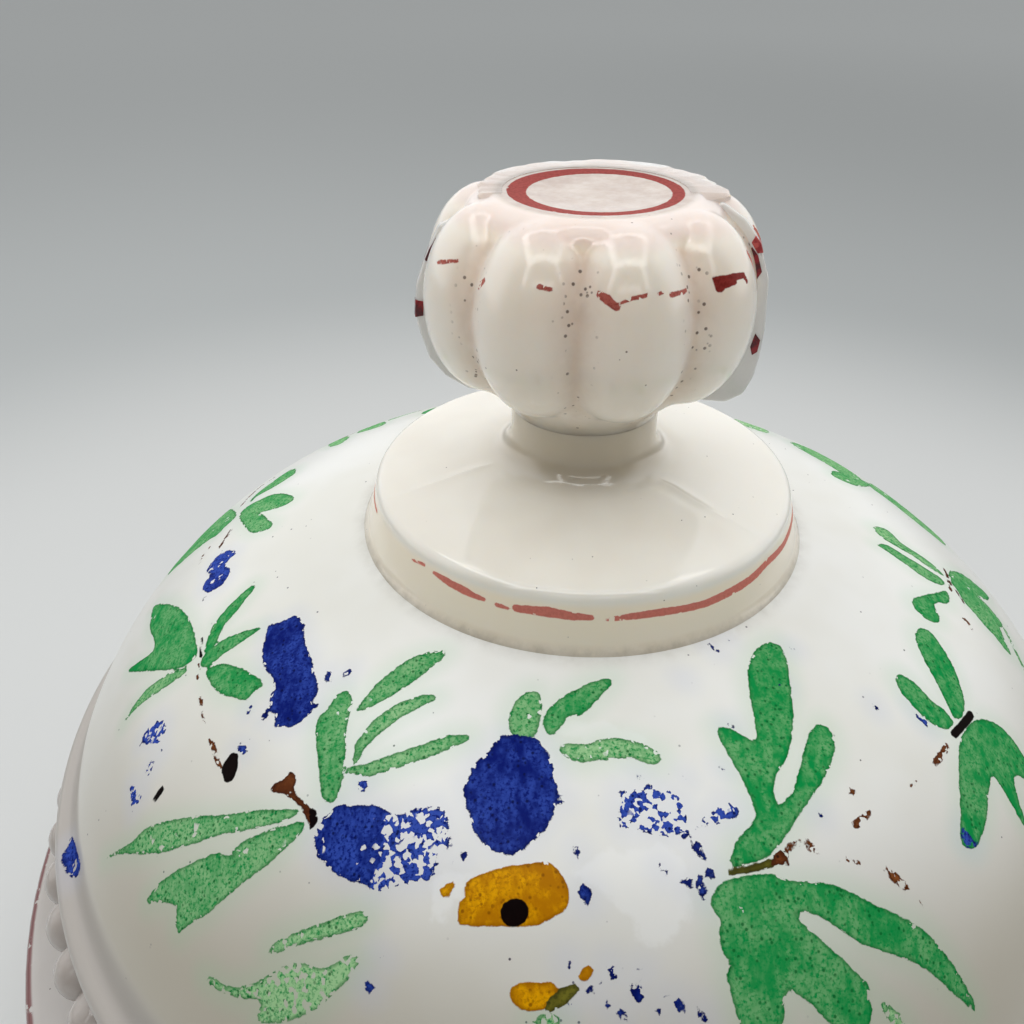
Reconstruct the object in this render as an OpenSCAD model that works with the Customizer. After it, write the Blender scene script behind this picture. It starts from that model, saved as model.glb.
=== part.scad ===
// Round covered box of pressed opaline glass: a footed dish with a pearled gallery,
// and a loose domed lid with a collar and a melon knob. Millimetres, Z up, table at z = 0.

/* [Dish] */
// Outer radius of the bowl's round wall, which the gallery carries on upwards
bowl_r = 65.2; // [60:0.1:70]
// Thickness of the bowl's wall and of the gallery
bowl_wall = 3.7; // [3:0.1:5]
// Thickness of the bowl's floor
floor_t = 5; // [3:0.5:8]
// Height of the foot ring
foot_h = 4; // [2:0.5:6]
// Width of the foot ring's flat face
foot_w = 6; // [3:0.5:10]

/* [Flange] */
// Height of the flange's top face above the table
flange_z = 50; // [44:0.5:58]
// Distance that the flange stands out from the bowl
flange_w = 10.4; // [7:0.1:16]
// Thickness of the flange, and the diameter of its round edge
flange_t = 4; // [2.5:0.1:6]

/* [Gallery] */
// Height of the gallery above the flange
gallery_h = 17.4; // [13:0.1:22]
// Radius of one pearl
pearl_r = 3.2; // [2.6:0.05:3.6]
// Spacing of the pearls round the gallery
pearl_pitch = 6.3; // [5.2:0.1:9]
// Distance of a pearl's centre outside the gallery wall
pearl_out = 1.1; // [0.4:0.1:1.8]
// Clear height between the pearls and the gallery's top
pearl_drop = 1.7; // [0.4:0.1:3]

/* [Lid] */
// Distance that the lid's rim stands out past the gallery
rim_over = 1.5; // [0.5:0.1:4]
// Thickness of the rim, and the diameter of its round edge
rim_t = 3; // [2:0.1:4]
// Distance from the dome's foot to the rim's edge
rim_out = 2; // [1:0.1:3]
// Radius of the hollow between the dome's foot and the rim
valley_r = 1.8; // [1.2:0.1:2.6]
// Depth of that hollow into the dome's foot
valley_cut = 1.6; // [1:0.1:2]
// Depth of that hollow into the rim's top face
valley_sink = 0.2; // [0.1:0.05:0.5]
// Height of the dome from the gallery's top to the collar's seat
dome_h = 32.9; // [28:0.1:42]
// Radius of the dome's flat upper arc
crown_r = 116; // [95:1:160]
// Angle from the axis at which the crown turns into the shoulder
shoulder_at = 18.5; // [15:0.5:26]
// Thickness of the dome
dome_wall = 6; // [4:0.1:7]
// Depth of the lip that drops into the gallery
lip_h = 5; // [3:0.5:10]
// Thickness of that lip
lip_t = 2.6; // [1.8:0.1:4]
// Play between the lip and the gallery, on the radius
lid_clear = 0.5; // [0.3:0.05:1.2]

/* [Collar] */
// Radius of the collar's foot, where it sits on the dome
collar_foot_r = 25.3; // [22:0.1:29]
// Radius of the collar's upper edge
collar_r = 24; // [19:0.1:28]
// Height of the collar's edge
collar_h = 6.2; // [4:0.1:9]
// Radius of the rounding on the collar's upper edge
collar_round = 1.2; // [0.6:0.1:1.8]
// Height that the collar's top gains on its way to the neck
collar_rise = 2.2; // [1:0.1:4]
// Height of a mould seam on the collar and the neck
seam_out = 0.3; // [0.2:0.05:0.6]

/* [Knob] */
// Radius of the neck under the knob
neck_r = 8.2; // [6.5:0.1:9]
// Radius of the sweep from the neck to the collar
neck_sweep = 3.2; // [2:0.1:5]
// Height of the knob's flat top above the collar's foot
knob_h = 37.6; // [37:0.1:40]
// Height of the lobes' middle above the collar's foot
knob_mid = 27.9; // [26:0.1:29]
// Number of lobes on the knob
lobe_count = 9; // [8:1:12]
// Half of a lobe's width
lobe_r = 6.05; // [5.4:0.05:7]
// Half of a lobe's height
lobe_half_h = 9.2; // [8:0.1:10]
// Radius of the long curve down a lobe's side
lobe_belly = 13; // [12:0.1:16]
// Distance of the lobes' middle from the axis
lobe_at = 11.2; // [10.5:0.1:13]
// Turn of the lobes about the axis
lobe_turn = 1.5; // [0:0.5:40]
// Radius of the knob's flat top
top_r = 10; // [9.5:0.1:11]
// Radius of the sloping brow between the flat top and the lobes
brow_r = 12.4; // [11.5:0.1:13]
// Height of that brow
brow_h = 0.8; // [0.4:0.1:2]
// Radius of the round core behind the lobes
core_r = 13.8; // [13:0.1:14.5]
// Half of the height over which the core keeps that radius
core_half_h = 4; // [2:0.1:6]
// Height above the collar's foot at which the neck widens into the knob
knob_foot = 15; // [14:0.1:17]
// Depth of the shallow hollow in the knob's top
top_dish = 0.5; // [0.2:0.1:1]
// Radius of that hollow
top_dish_r = 7.7; // [5:0.1:9]
// Number of mould seams round the knob
seam_count = 3; // [2:1:4]
// Thickness of the glass fin that stands on a seam
fin_t = 1; // [0.6:0.1:1.6]
// Distance that the fin stands out past the lobes
fin_out = 1.5; // [0.4:0.1:2]
// Turn of the first seam about the axis
seam_turn = 198; // [0:1:360]

/* [Hidden] */
$fn = 72;
milk_glass = [0.89, 0.89, 0.86];
warm_glass = [0.80, 0.76, 0.70];
// Overlap given to shapes that merge
merge = 1;
// Any length larger than the part
far = 400;

// Dish
bowl_in = bowl_r - bowl_wall;
bowl_z = flange_z - flange_t / 2;
bowl_floor = foot_h + floor_t;
foot_r = sqrt(pow(bowl_r, 2) - pow(bowl_z - foot_h, 2));
flange_r = bowl_r + flange_w;
lid_z = flange_z + gallery_h;
pearl_at = bowl_r + pearl_out;
pearl_z = lid_z - pearl_drop - pearl_r;
pearl_count = round(2 * PI * pearl_at / pearl_pitch);

// Lid, measured from the gallery's top, on which its rim rests
rim_r = bowl_r + rim_over;
lip_r = bowl_in - lid_clear;
dome_foot_r = rim_r - rim_out;
// The crown's arc passes through the edge of the collar's seat
crown_z = dome_h - sqrt(pow(crown_r, 2) - pow(collar_foot_r, 2));
crown_way = [sin(shoulder_at), cos(shoulder_at)];
turn_point = [0, crown_z] + crown_r * crown_way;
// The shoulder's arc leaves the crown's at a tangent and ends at the dome's foot
fall = [dome_foot_r, rim_t] - turn_point;
shoulder_r = -(fall * fall) / (2 * (fall * crown_way));
shoulder_mid = turn_point - shoulder_r * crown_way;

// Knob
finial_z = lid_z + dome_h;
// A lobe is an oval of four arcs: the two long ones meet the two end ones at a tangent
tip_r = (2 * lobe_r * lobe_belly - pow(lobe_r, 2) - pow(lobe_half_h, 2)) / (2 * (lobe_belly - lobe_half_h));
tip_z = lobe_half_h - tip_r;
oval_turn = tip_z / (lobe_belly - tip_r);
top_ball = (pow(top_dish_r, 2) + pow(top_dish, 2)) / (2 * top_dish);

// Half profile of the region under the dome's two arcs, drawn in by inset
module arch_2d(inset) {
    intersection() {
        translate([0, crown_z]) circle(crown_r - inset);
        polygon([[0, crown_z], [0, crown_z] + far * crown_way, [0, crown_z + far]]);
    }
    translate(shoulder_mid) circle(shoulder_r - inset);
}

// Half profile of a flat ring or disc with a round outer edge
module round_edge_2d(r, t) {
    square([r - t / 2, t]);
    translate([r - t / 2, t / 2]) circle(t / 2);
}

// Half profile of the dish without its pearls
module dish_2d() {
    difference() {
        union() {
            intersection() {
                translate([0, bowl_z]) circle(bowl_r);
                translate([0, foot_h]) square([far, bowl_z - foot_h]);
            }
            translate([0, bowl_z]) square([bowl_r, lid_z - bowl_z]);
            translate([0, flange_z - flange_t]) round_edge_2d(flange_r, flange_t);
            translate([foot_r - foot_w, 0]) square([foot_w, foot_h + merge]);
        }
        intersection() {
            translate([0, bowl_z]) circle(bowl_in);
            translate([0, bowl_floor]) square([far, bowl_z - bowl_floor]);
        }
        translate([0, bowl_z]) square([bowl_in, far]);
    }
}

// Half profile of the lid's dome, with its rim and lip
module dome_2d() {
    difference() {
        union() {
            intersection() {
                arch_2d(0);
                square([far, dome_h]);
            }
            round_edge_2d(rim_r, rim_t);
            translate([0, -lip_h]) square([lip_r, lip_h + merge]);
        }
        translate([dome_foot_r - valley_cut + valley_r, rim_t + valley_r - valley_sink]) circle(valley_r);
        intersection() {
            arch_2d(dome_wall);
            translate([0, -lip_h - merge]) square([lip_r - lip_t, far]);
        }
    }
}

// Half profile of the collar and neck, grown outwards by seam for the mould seams
module stem_2d(seam) {
    sweep_r = neck_r + neck_sweep;
    sweep_z = collar_h + collar_rise + neck_sweep;
    polygon([
        [0, 0],
        [collar_foot_r, 0],
        [collar_r + seam, collar_h - collar_round],
        [collar_r - collar_round, collar_h + seam],
        [sweep_r, collar_h + collar_rise + seam],
        [0, collar_h + collar_rise + seam]
    ]);
    translate([collar_r - collar_round, collar_h - collar_round]) circle(collar_round + seam);
    square([neck_r + seam, knob_mid]);
    difference() {
        square([sweep_r, sweep_z]);
        translate([sweep_r, sweep_z + seam]) circle(neck_sweep - seam);
    }
}

// Upright oval section of a lobe, grown outwards by fin
module oval_2d(fin) {
    belly = lobe_belly + fin;
    turn_z = belly * oval_turn;
    intersection() {
        translate([lobe_r - lobe_belly, 0]) circle(belly);
        translate([lobe_belly - lobe_r, 0]) circle(belly);
        translate([-far, -turn_z]) square([2 * far, 2 * turn_z]);
    }
    for (side = [-1, 1]) {
        translate([0, side * tip_z]) circle(tip_r + fin);
    }
}

// Half profile of the knob's envelope, grown outwards by fin
module knob_2d(fin) {
    intersection() {
        union() {
            translate([lobe_at, knob_mid]) oval_2d(fin);
            core_2d();
        }
        square([far, knob_h]);
    }
}

// Round core that the lobes stand on, with a sloping underside
module core_2d() {
    polygon([
        [0, knob_foot],
        [neck_r, knob_foot],
        [core_r, knob_mid - core_half_h],
        [core_r, knob_mid + core_half_h],
        [brow_r, knob_h - brow_h],
        [top_r, knob_h],
        [0, knob_h]
    ]);
}

// Dish: bowl on a foot ring, flange, and gallery with its row of pearls
module dish() {
    color(milk_glass) {
        rotate_extrude() dish_2d();
        for (i = [0 : pearl_count - 1]) {
            rotate(i * 360 / pearl_count) translate([pearl_at, 0, pearl_z]) sphere(pearl_r);
        }
    }
}

// Lid's dome: hollow shell with a flat seat on top, a round-edged rim and a locating lip
module lid_dome() {
    color(milk_glass) translate([0, 0, lid_z]) rotate_extrude() dome_2d();
}

// Lobed melon body of the knob, before its top is cut flat
module lobes() {
    for (i = [0 : lobe_count - 1]) {
        rotate(lobe_turn + i * 360 / lobe_count)
            translate([lobe_at, 0, knob_mid])
                rotate_extrude() intersection() {
                    oval_2d(0);
                    translate([0, -far]) square([far, 2 * far]);
                }
    }
}

// Thin fins and ridges left by the joints of the mould
module seams() {
    for (i = [0 : seam_count - 1]) {
        rotate(seam_turn + i * 360 / seam_count) intersection() {
            rotate_extrude() {
                knob_2d(fin_out);
                stem_2d(seam_out);
            }
            translate([0, -fin_t / 2, 0]) cube([far, fin_t, far]);
        }
    }
}

// Lid's finial: collar, neck and melon knob, fused onto the dome's flat seat
module lid_finial() {
    color(warm_glass) translate([0, 0, finial_z]) difference() {
        union() {
            rotate_extrude() {
                stem_2d(0);
                core_2d();
            }
            lobes();
            seams();
        }
        translate([0, 0, knob_h]) cylinder(h = far, r = far);
        translate([0, 0, knob_h - top_dish + top_ball]) sphere(top_ball);
    }
}

dish();
lid_dome();
lid_finial();
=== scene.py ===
# %% [markdown]
# # A covered box of painted opaline glass
# The real thing is a round box of pressed milk glass: a footed dish with a gallery of pearls, and
# a loose domed lid with a collar and a melon knob, painted by hand with sprays in enamel that has
# half worn away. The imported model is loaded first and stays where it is. Everything below is
# measured in its frame: Z is up, the table is at zero, and the front faces -Y.

# %% Load the frame
import math

import bpy
import numpy as np
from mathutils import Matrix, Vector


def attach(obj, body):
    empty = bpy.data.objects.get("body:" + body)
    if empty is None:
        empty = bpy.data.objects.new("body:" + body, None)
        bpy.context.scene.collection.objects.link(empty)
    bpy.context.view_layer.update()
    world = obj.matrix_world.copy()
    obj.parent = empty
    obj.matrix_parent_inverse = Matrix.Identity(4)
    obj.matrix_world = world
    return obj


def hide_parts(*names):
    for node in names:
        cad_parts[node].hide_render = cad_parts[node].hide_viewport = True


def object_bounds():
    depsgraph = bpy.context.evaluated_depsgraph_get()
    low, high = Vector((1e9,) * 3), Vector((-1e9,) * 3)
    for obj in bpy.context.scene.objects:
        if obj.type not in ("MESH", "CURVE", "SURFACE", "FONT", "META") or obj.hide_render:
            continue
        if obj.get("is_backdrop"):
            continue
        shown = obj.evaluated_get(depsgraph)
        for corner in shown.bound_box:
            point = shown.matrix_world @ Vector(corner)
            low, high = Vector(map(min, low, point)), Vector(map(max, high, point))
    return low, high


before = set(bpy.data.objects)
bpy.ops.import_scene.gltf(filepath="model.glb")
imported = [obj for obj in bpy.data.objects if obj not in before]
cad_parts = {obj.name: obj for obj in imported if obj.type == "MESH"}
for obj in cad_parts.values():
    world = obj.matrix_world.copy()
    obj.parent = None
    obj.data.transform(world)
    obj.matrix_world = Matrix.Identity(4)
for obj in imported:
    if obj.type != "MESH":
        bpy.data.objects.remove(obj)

cad_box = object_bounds()
MM = 0.001
print("nodes", sorted(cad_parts), "box", [round(v, 4) for v in (*cad_box[0], *cad_box[1])])

# %% [markdown]
# ## The camera
# The picture was taken close up, from a little above the knob, with a wide lens. The camera comes
# first, because all that follows is judged through it. Its place was solved from the ellipses of
# the knob's top, the collar and the lid's rim, which are all circles round one upright axis.

# %% Camera
PICTURE_PX = 1024
FOCAL_PX = 900
SENSOR_MM = 36
CAMERA_AT_MM = (-8.15, -90.52, 160.97)
CAMERA_PITCH_DEG = 34.03

bpy.ops.object.select_all(action="DESELECT")
bpy.ops.object.camera_add(
    location=[v * MM for v in CAMERA_AT_MM],
    rotation=(math.radians(90 - CAMERA_PITCH_DEG), 0, 0),
)
camera = bpy.context.object
camera.data.sensor_width = SENSOR_MM
camera.data.lens = SENSOR_MM * FOCAL_PX / PICTURE_PX
camera.data.clip_start = 0.005
bpy.context.scene.camera = camera
print("lens", round(camera.data.lens, 2), "mm")

# %% [markdown]
# ## Turning a profile
# Pressed glass of this kind is round because its mould was turned on a lathe, and the pieces are
# made in the same way here. A single point is pushed along half of the section, one extrusion for
# each step, and the line is then spun once round the axis. The Screw modifier would do the same,
# but the spin leaves a plain mesh whose rings sit exactly where the profile has its points.

# %% Lathe
def arc(centre, radius, start_deg, end_deg, count):
    """Points of an arc in the half section. Angles are from straight up, turning outwards."""
    points = []
    for i in range(count):
        a = math.radians(start_deg + (end_deg - start_deg) * i / (count - 1))
        points.append((centre[0] + radius * math.sin(a), centre[1] + radius * math.cos(a)))
    return points


def straight(start, end, count):
    """Points between two ends, without the first one."""
    return [
        (start[0] + (end[0] - start[0]) * i / count, start[1] + (end[1] - start[1]) * i / count)
        for i in range(1, count + 1)
    ]


def turned(name, profile, steps, crease_deg=35):
    """A solid of revolution from (radius, height) points in mm that start and end on the axis."""
    bpy.ops.object.select_all(action="DESELECT")
    bpy.ops.mesh.primitive_plane_add(size=MM, location=(0, 0, 0))
    piece = bpy.context.object
    piece.name = piece.data.name = name
    bpy.ops.object.mode_set(mode="EDIT")
    bpy.ops.mesh.select_mode(type="VERT")
    bpy.ops.mesh.select_all(action="SELECT")
    bpy.ops.mesh.merge(type="CENTER")
    bpy.ops.transform.translate(value=(profile[0][0] * MM, 0, profile[0][1] * MM))
    for (r0, z0), (r1, z1) in zip(profile, profile[1:]):
        step = ((r1 - r0) * MM, 0, (z1 - z0) * MM)
        bpy.ops.mesh.extrude_region_move(TRANSFORM_OT_translate={"value": step})
    bpy.ops.mesh.select_all(action="SELECT")
    bpy.ops.mesh.spin(steps=steps, angle=2 * math.pi, center=(0, 0, 0), axis=(0, 0, 1))
    bpy.ops.mesh.select_all(action="SELECT")
    bpy.ops.mesh.remove_doubles(threshold=0.002 * MM)
    bpy.ops.mesh.normals_make_consistent(inside=False)
    bpy.ops.object.mode_set(mode="OBJECT")
    bpy.ops.object.shade_smooth_by_angle(angle=math.radians(crease_deg))
    print(name, len(piece.data.vertices), "points", len(piece.data.polygons), "faces")
    return piece


def places(piece):
    """Coordinates of a piece's points in mm."""
    found = np.empty(len(piece.data.vertices) * 3, np.float32)
    piece.data.vertices.foreach_get("co", found)
    return found.reshape(-1, 3).astype(float) / MM


def tell(piece):
    """Says how many faces a piece has and which box it fills, in mm."""
    spots = places(piece)
    low, high = np.round(spots.min(0), 1), np.round(spots.max(0), 1)
    print(piece.name, len(piece.data.polygons), "faces from", low, "to", high)


def bearing(points):
    """Degrees round the axis from the front, growing to the right."""
    return np.degrees(np.arctan2(points[:, 0], -points[:, 1]))


def keep_values(piece, name, values):
    """Stores one number for each point of a piece, for its material to read."""
    layer = piece.data.attributes.new(name, "FLOAT", "POINT")
    layer.data.foreach_set("value", np.asarray(values, np.float32))


# %% [markdown]
# ## The lid's dome
# The dome's section is two arcs that meet at a tangent: a flat crown under the collar and a rounder
# shoulder that falls to the rim. Under it a lip drops into the gallery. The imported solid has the
# same section, but the paint needs a skin of even half-millimetre faces, so this piece stands in
# for it. Where the solid has a sharp groove above the rim, the real glass is melted soft.

# %% Dome
COLLAR_FOOT_R, COLLAR_FOOT_Z = 25.3, 100.3
CROWN_MID, CROWN_R = (0, -12.91), 116
SHOULDER_MID, SHOULDER_R = (22.45, 54.18), 45.26
SHOULDER_FROM_DEG, SHOULDER_TO_DEG = 18.5, 62.5
DOME_WALL = 6
RIM_MID, RIM_EDGE_R = (65.2, 68.9), 1.5
GALLERY_TOP = 67.4
LIP_R, LIP_IN_R, LIP_FOOT_Z = 61, 58.4, 62.4
DOME_STEPS = 640
CROWN_RINGS, SHOULDER_RINGS = 24, 68

crown_from = math.degrees(math.asin(COLLAR_FOOT_R / CROWN_R))
inner_r = SHOULDER_R - DOME_WALL
inner_to = math.degrees(math.asin((LIP_IN_R - SHOULDER_MID[0]) / inner_r))
dome_profile = [(0, COLLAR_FOOT_Z), (13, COLLAR_FOOT_Z), (23, COLLAR_FOOT_Z)]
dome_profile += arc(CROWN_MID, CROWN_R, crown_from, SHOULDER_FROM_DEG, CROWN_RINGS)
dome_profile += arc(SHOULDER_MID, SHOULDER_R, SHOULDER_FROM_DEG, SHOULDER_TO_DEG, SHOULDER_RINGS)[1:]
dome_profile += [(63.0, 73.92), (63.33, 73.05), (63.62, 72.3), (63.92, 71.65), (64.28, 71.1)]
dome_profile += [(64.66, 70.74), (65.02, 70.53), (65.32, 70.44)]
dome_profile += arc(RIM_MID, RIM_EDGE_R, 12, 180, 12)
dome_profile += [(61.6, GALLERY_TOP), (61.15, 67.3), (LIP_R, 66.9), (LIP_R, 63), (60.6, LIP_FOOT_Z)]
dome_profile += [(58.9, LIP_FOOT_Z), (LIP_IN_R, 62.9)]
dome_profile += arc(SHOULDER_MID, inner_r, inner_to, SHOULDER_FROM_DEG, 12)
dome_profile += arc(CROWN_MID, CROWN_R - DOME_WALL, SHOULDER_FROM_DEG, 0, 8)[1:]
dome = turned("dome_shell", dome_profile, DOME_STEPS)
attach(dome, "lid")
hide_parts("lid_dome")
tell(dome)

# %% [markdown]
# ## The painted sprays
# Naive sprays of leaves round a few simple flowers were a common decoration on such glass. The
# painter used six colours, and the lists give each stroke's colour, how worn it is from 0 to 1,
# and its points: pairs are an outline, and threes are a stroke with its half width.

# %% Sprays
FAR_LEFT_SPRAY = [
    ("green", 0.12, [(-88.7, 32.6), (-82.3, 25.8), (-77.1, 23.2), (-72.2, 22.2), (-67.5, 22),
        (-67.3, 23.4), (-68, 25.1), (-71.6, 28.6), (-77.6, 35), (-76.4, 31.6), (-75.5, 28.8),
        (-77.5, 28.8), (-82.2, 30.9), (-85.2, 31.5)]),
    ("green", 0.25, [(-66.7, 24.3, 0.49), (-67.8, 26.9, 0.92), (-68.8, 30.2, 0.8), (-68.8, 32.7, 0.4),
        (-68.3, 34.3, 0.15)]),
    ("green", 0.12, [(-67.2, 20.7, 0.69), (-70.6, 19, 0.94), (-72.6, 16.9, 0.95), (-74.9, 14.6, 0.53)]),
    ("green", 0.15, [(-65.3, 21, 1.09), (-65.5, 18.8, 1.09), (-64.9, 16.6, 0.74), (-64.3, 14.6, 0.2)]),
    ("green", 0.15, [(-64.1, 21.8), (-62.5, 19.4), (-58.5, 17.7), (-54.6, 16.8), (-53.3, 17.1),
        (-54.1, 18), (-53.4, 19.3), (-55.3, 19.9), (-57.5, 21.1), (-60.8, 21.7)]),
    ("black", 0.1, [(-70.2, 21.4, 0.25), (-66.8, 21.8, 0.24)]),
    ("brown", 0.3, [(-66.2, 22.2, 0.17), (-63.5, 22.8, 0.2)]),
    ("brown", 0.35, [(-60.3, 23.2, 0.27), (-55.9, 24, 0.16)]),
    ("brown", 0.3, [(-53.6, 24.2, 0.29), (-51.2, 24.6, 0.32), (-49.1, 25, 0.25)]),
    ("black", 0.05, [(-48.4, 23.6, 0.69), (-47.9, 24.3, 1), (-47.2, 24.8, 0.74)]),
    ("blue", 0.2, [(-49.4, 22.8), (-49, 22.1), (-47.7, 21.8), (-47.3, 22.3), (-48.1, 23)]),
    ("blue", 0.13, [(-64.2, 13.6), (-62.9, 12.6), (-62.8, 10.4), (-59.3, 10.2), (-56.7, 11),
        (-53, 11.4), (-48.7, 12.4), (-45.9, 13.1), (-44.7, 14.9), (-43.7, 14.1), (-43.7, 15.9),
        (-44.3, 17.5), (-46.8, 19), (-47.6, 17.9), (-50.3, 17.8), (-51.8, 16.2), (-53.3, 15.8),
        (-56.6, 16), (-59.4, 15.4), (-62.2, 14.2)]),
    ("blue", 0.2, [(-47.5, 11.8), (-46.8, 11.1), (-44.8, 12), (-45.7, 12.5)]),
    ("blue", 0.2, [(-44.8, 10.7), (-44.2, 9.6), (-43.5, 10.2), (-43.5, 11)]),
    ("blue", 0.62, [(-63.4, 30.5), (-63.2, 28.6), (-61.3, 27.9), (-60.3, 28.4), (-59.4, 30.1),
        (-63.2, 32.1)]),
    ("blue", 0.5, [(-58.1, 32.7), (-59.1, 31.5), (-58.6, 30.7), (-57.7, 31.3), (-57.5, 32.5)]),
    ("blue", 0.75, [(-60, 34.7), (-56.8, 33.2), (-56.1, 34.1), (-56.7, 36.2)]),
    ("black", 0.02, [(-54.3, 32.9, 0.3), (-54.3, 31.4, 0.4)]),
    ("blue", 0.25, [(-68, 51.3), (-64.4, 49.7), (-61.6, 48.5), (-61.6, 50.6), (-62.4, 51.7),
        (-63.9, 52.1), (-65.4, 52.4)]),
]
LEFT_SPRAY = [
    ("green", 0.2, [(-42.2, 15.8), (-42, 14.1), (-42.7, 12.4), (-41.5, 11.5), (-39.3, 12.2),
        (-38.2, 13.9), (-34.2, 17.4), (-32.4, 20.4), (-34, 21.4), (-37.3, 18.9)]),
    ("green", 0.25, [(-57.1, 43.2), (-55.1, 39.7), (-53.6, 37.3), (-53.1, 35.2), (-51, 32.7),
        (-47.1, 29.3), (-44.9, 28), (-41.6, 25.5), (-36.7, 22.9), (-35.7, 22.9), (-37.1, 24.5),
        (-39.9, 26.6), (-43.5, 29.2), (-46.2, 32.1), (-49.8, 35.8), (-54, 39.1), (-55.5, 41)]),
    ("green", 0.22, [(-48, 40.1), (-47.2, 36.9), (-45.9, 34.5), (-43.9, 32), (-42.4, 30.3),
        (-40.3, 29.7), (-41, 29), (-39.5, 27), (-36.9, 24.7), (-34.9, 23.3), (-34.4, 24.1),
        (-35.3, 26.5), (-36.7, 29), (-38.4, 31.9), (-39.9, 35.2), (-41.4, 37.1), (-42.1, 38.9),
        (-43.2, 38.1), (-43.6, 36.7), (-46, 38.2)]),
    ("brown", 0.1, [(-41, 23.3), (-41.2, 22.4), (-40.2, 21.7), (-40.6, 20.7), (-39.5, 20.5),
        (-38.7, 21.1), (-38.5, 21.8), (-36.7, 22), (-34.5, 22.3), (-33.4, 22.8), (-33.6, 23.8),
        (-34.6, 23.2), (-36.6, 22.6), (-38.8, 22.4)]),
    ("black", 0.1, [(-34.6, 22.4, 0.4), (-33.9, 22.9, 0.4), (-33.8, 23.6, 0.23)]),
    ("green", 0.2, [(-38, 13.3), (-38.5, 10.1), (-37.8, 7.5), (-36.4, 5.2), (-32.1, 3), (-30.5, 3.5),
        (-32.2, 6.5), (-34.1, 9.3), (-36, 11.4)]),
    ("green", 0.25, [(-33.1, 16.8, 0.25), (-34, 15.3, 0.55), (-33.5, 13, 0.8), (-31.9, 10.6, 0.8),
        (-29.5, 8.8, 0.6), (-28.3, 8.3, 0.4)]),
    ("green", 0.25, [(-33.2, 17.7, 0.35), (-30.9, 16.8, 0.64), (-28.3, 15.1, 0.73), (-25.3, 13.4, 0.73),
        (-22.5, 11.7, 0.73), (-20.3, 10.9, 0.39)]),
    ("green", 0.28, [(-32.2, 34.8), (-31.9, 33), (-28.3, 30), (-24.4, 27.2), (-23.5, 27.7), (-24, 28.9),
        (-27.1, 30.7), (-29.7, 32.6)]),
    ("green", 0.5, [(-37.8, 40), (-36.8, 39.2), (-34.6, 39), (-32.2, 37.2), (-30.4, 34.7),
        (-28.7, 33.4), (-26, 33), (-24.6, 31.1), (-22.9, 30.8), (-23.5, 32.6), (-25.6, 36.2),
        (-26.8, 37.2), (-28.2, 38.6), (-30, 39.6), (-31, 40.2), (-30.8, 37.8), (-33.2, 39.2), (-36, 40)]),
]
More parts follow.
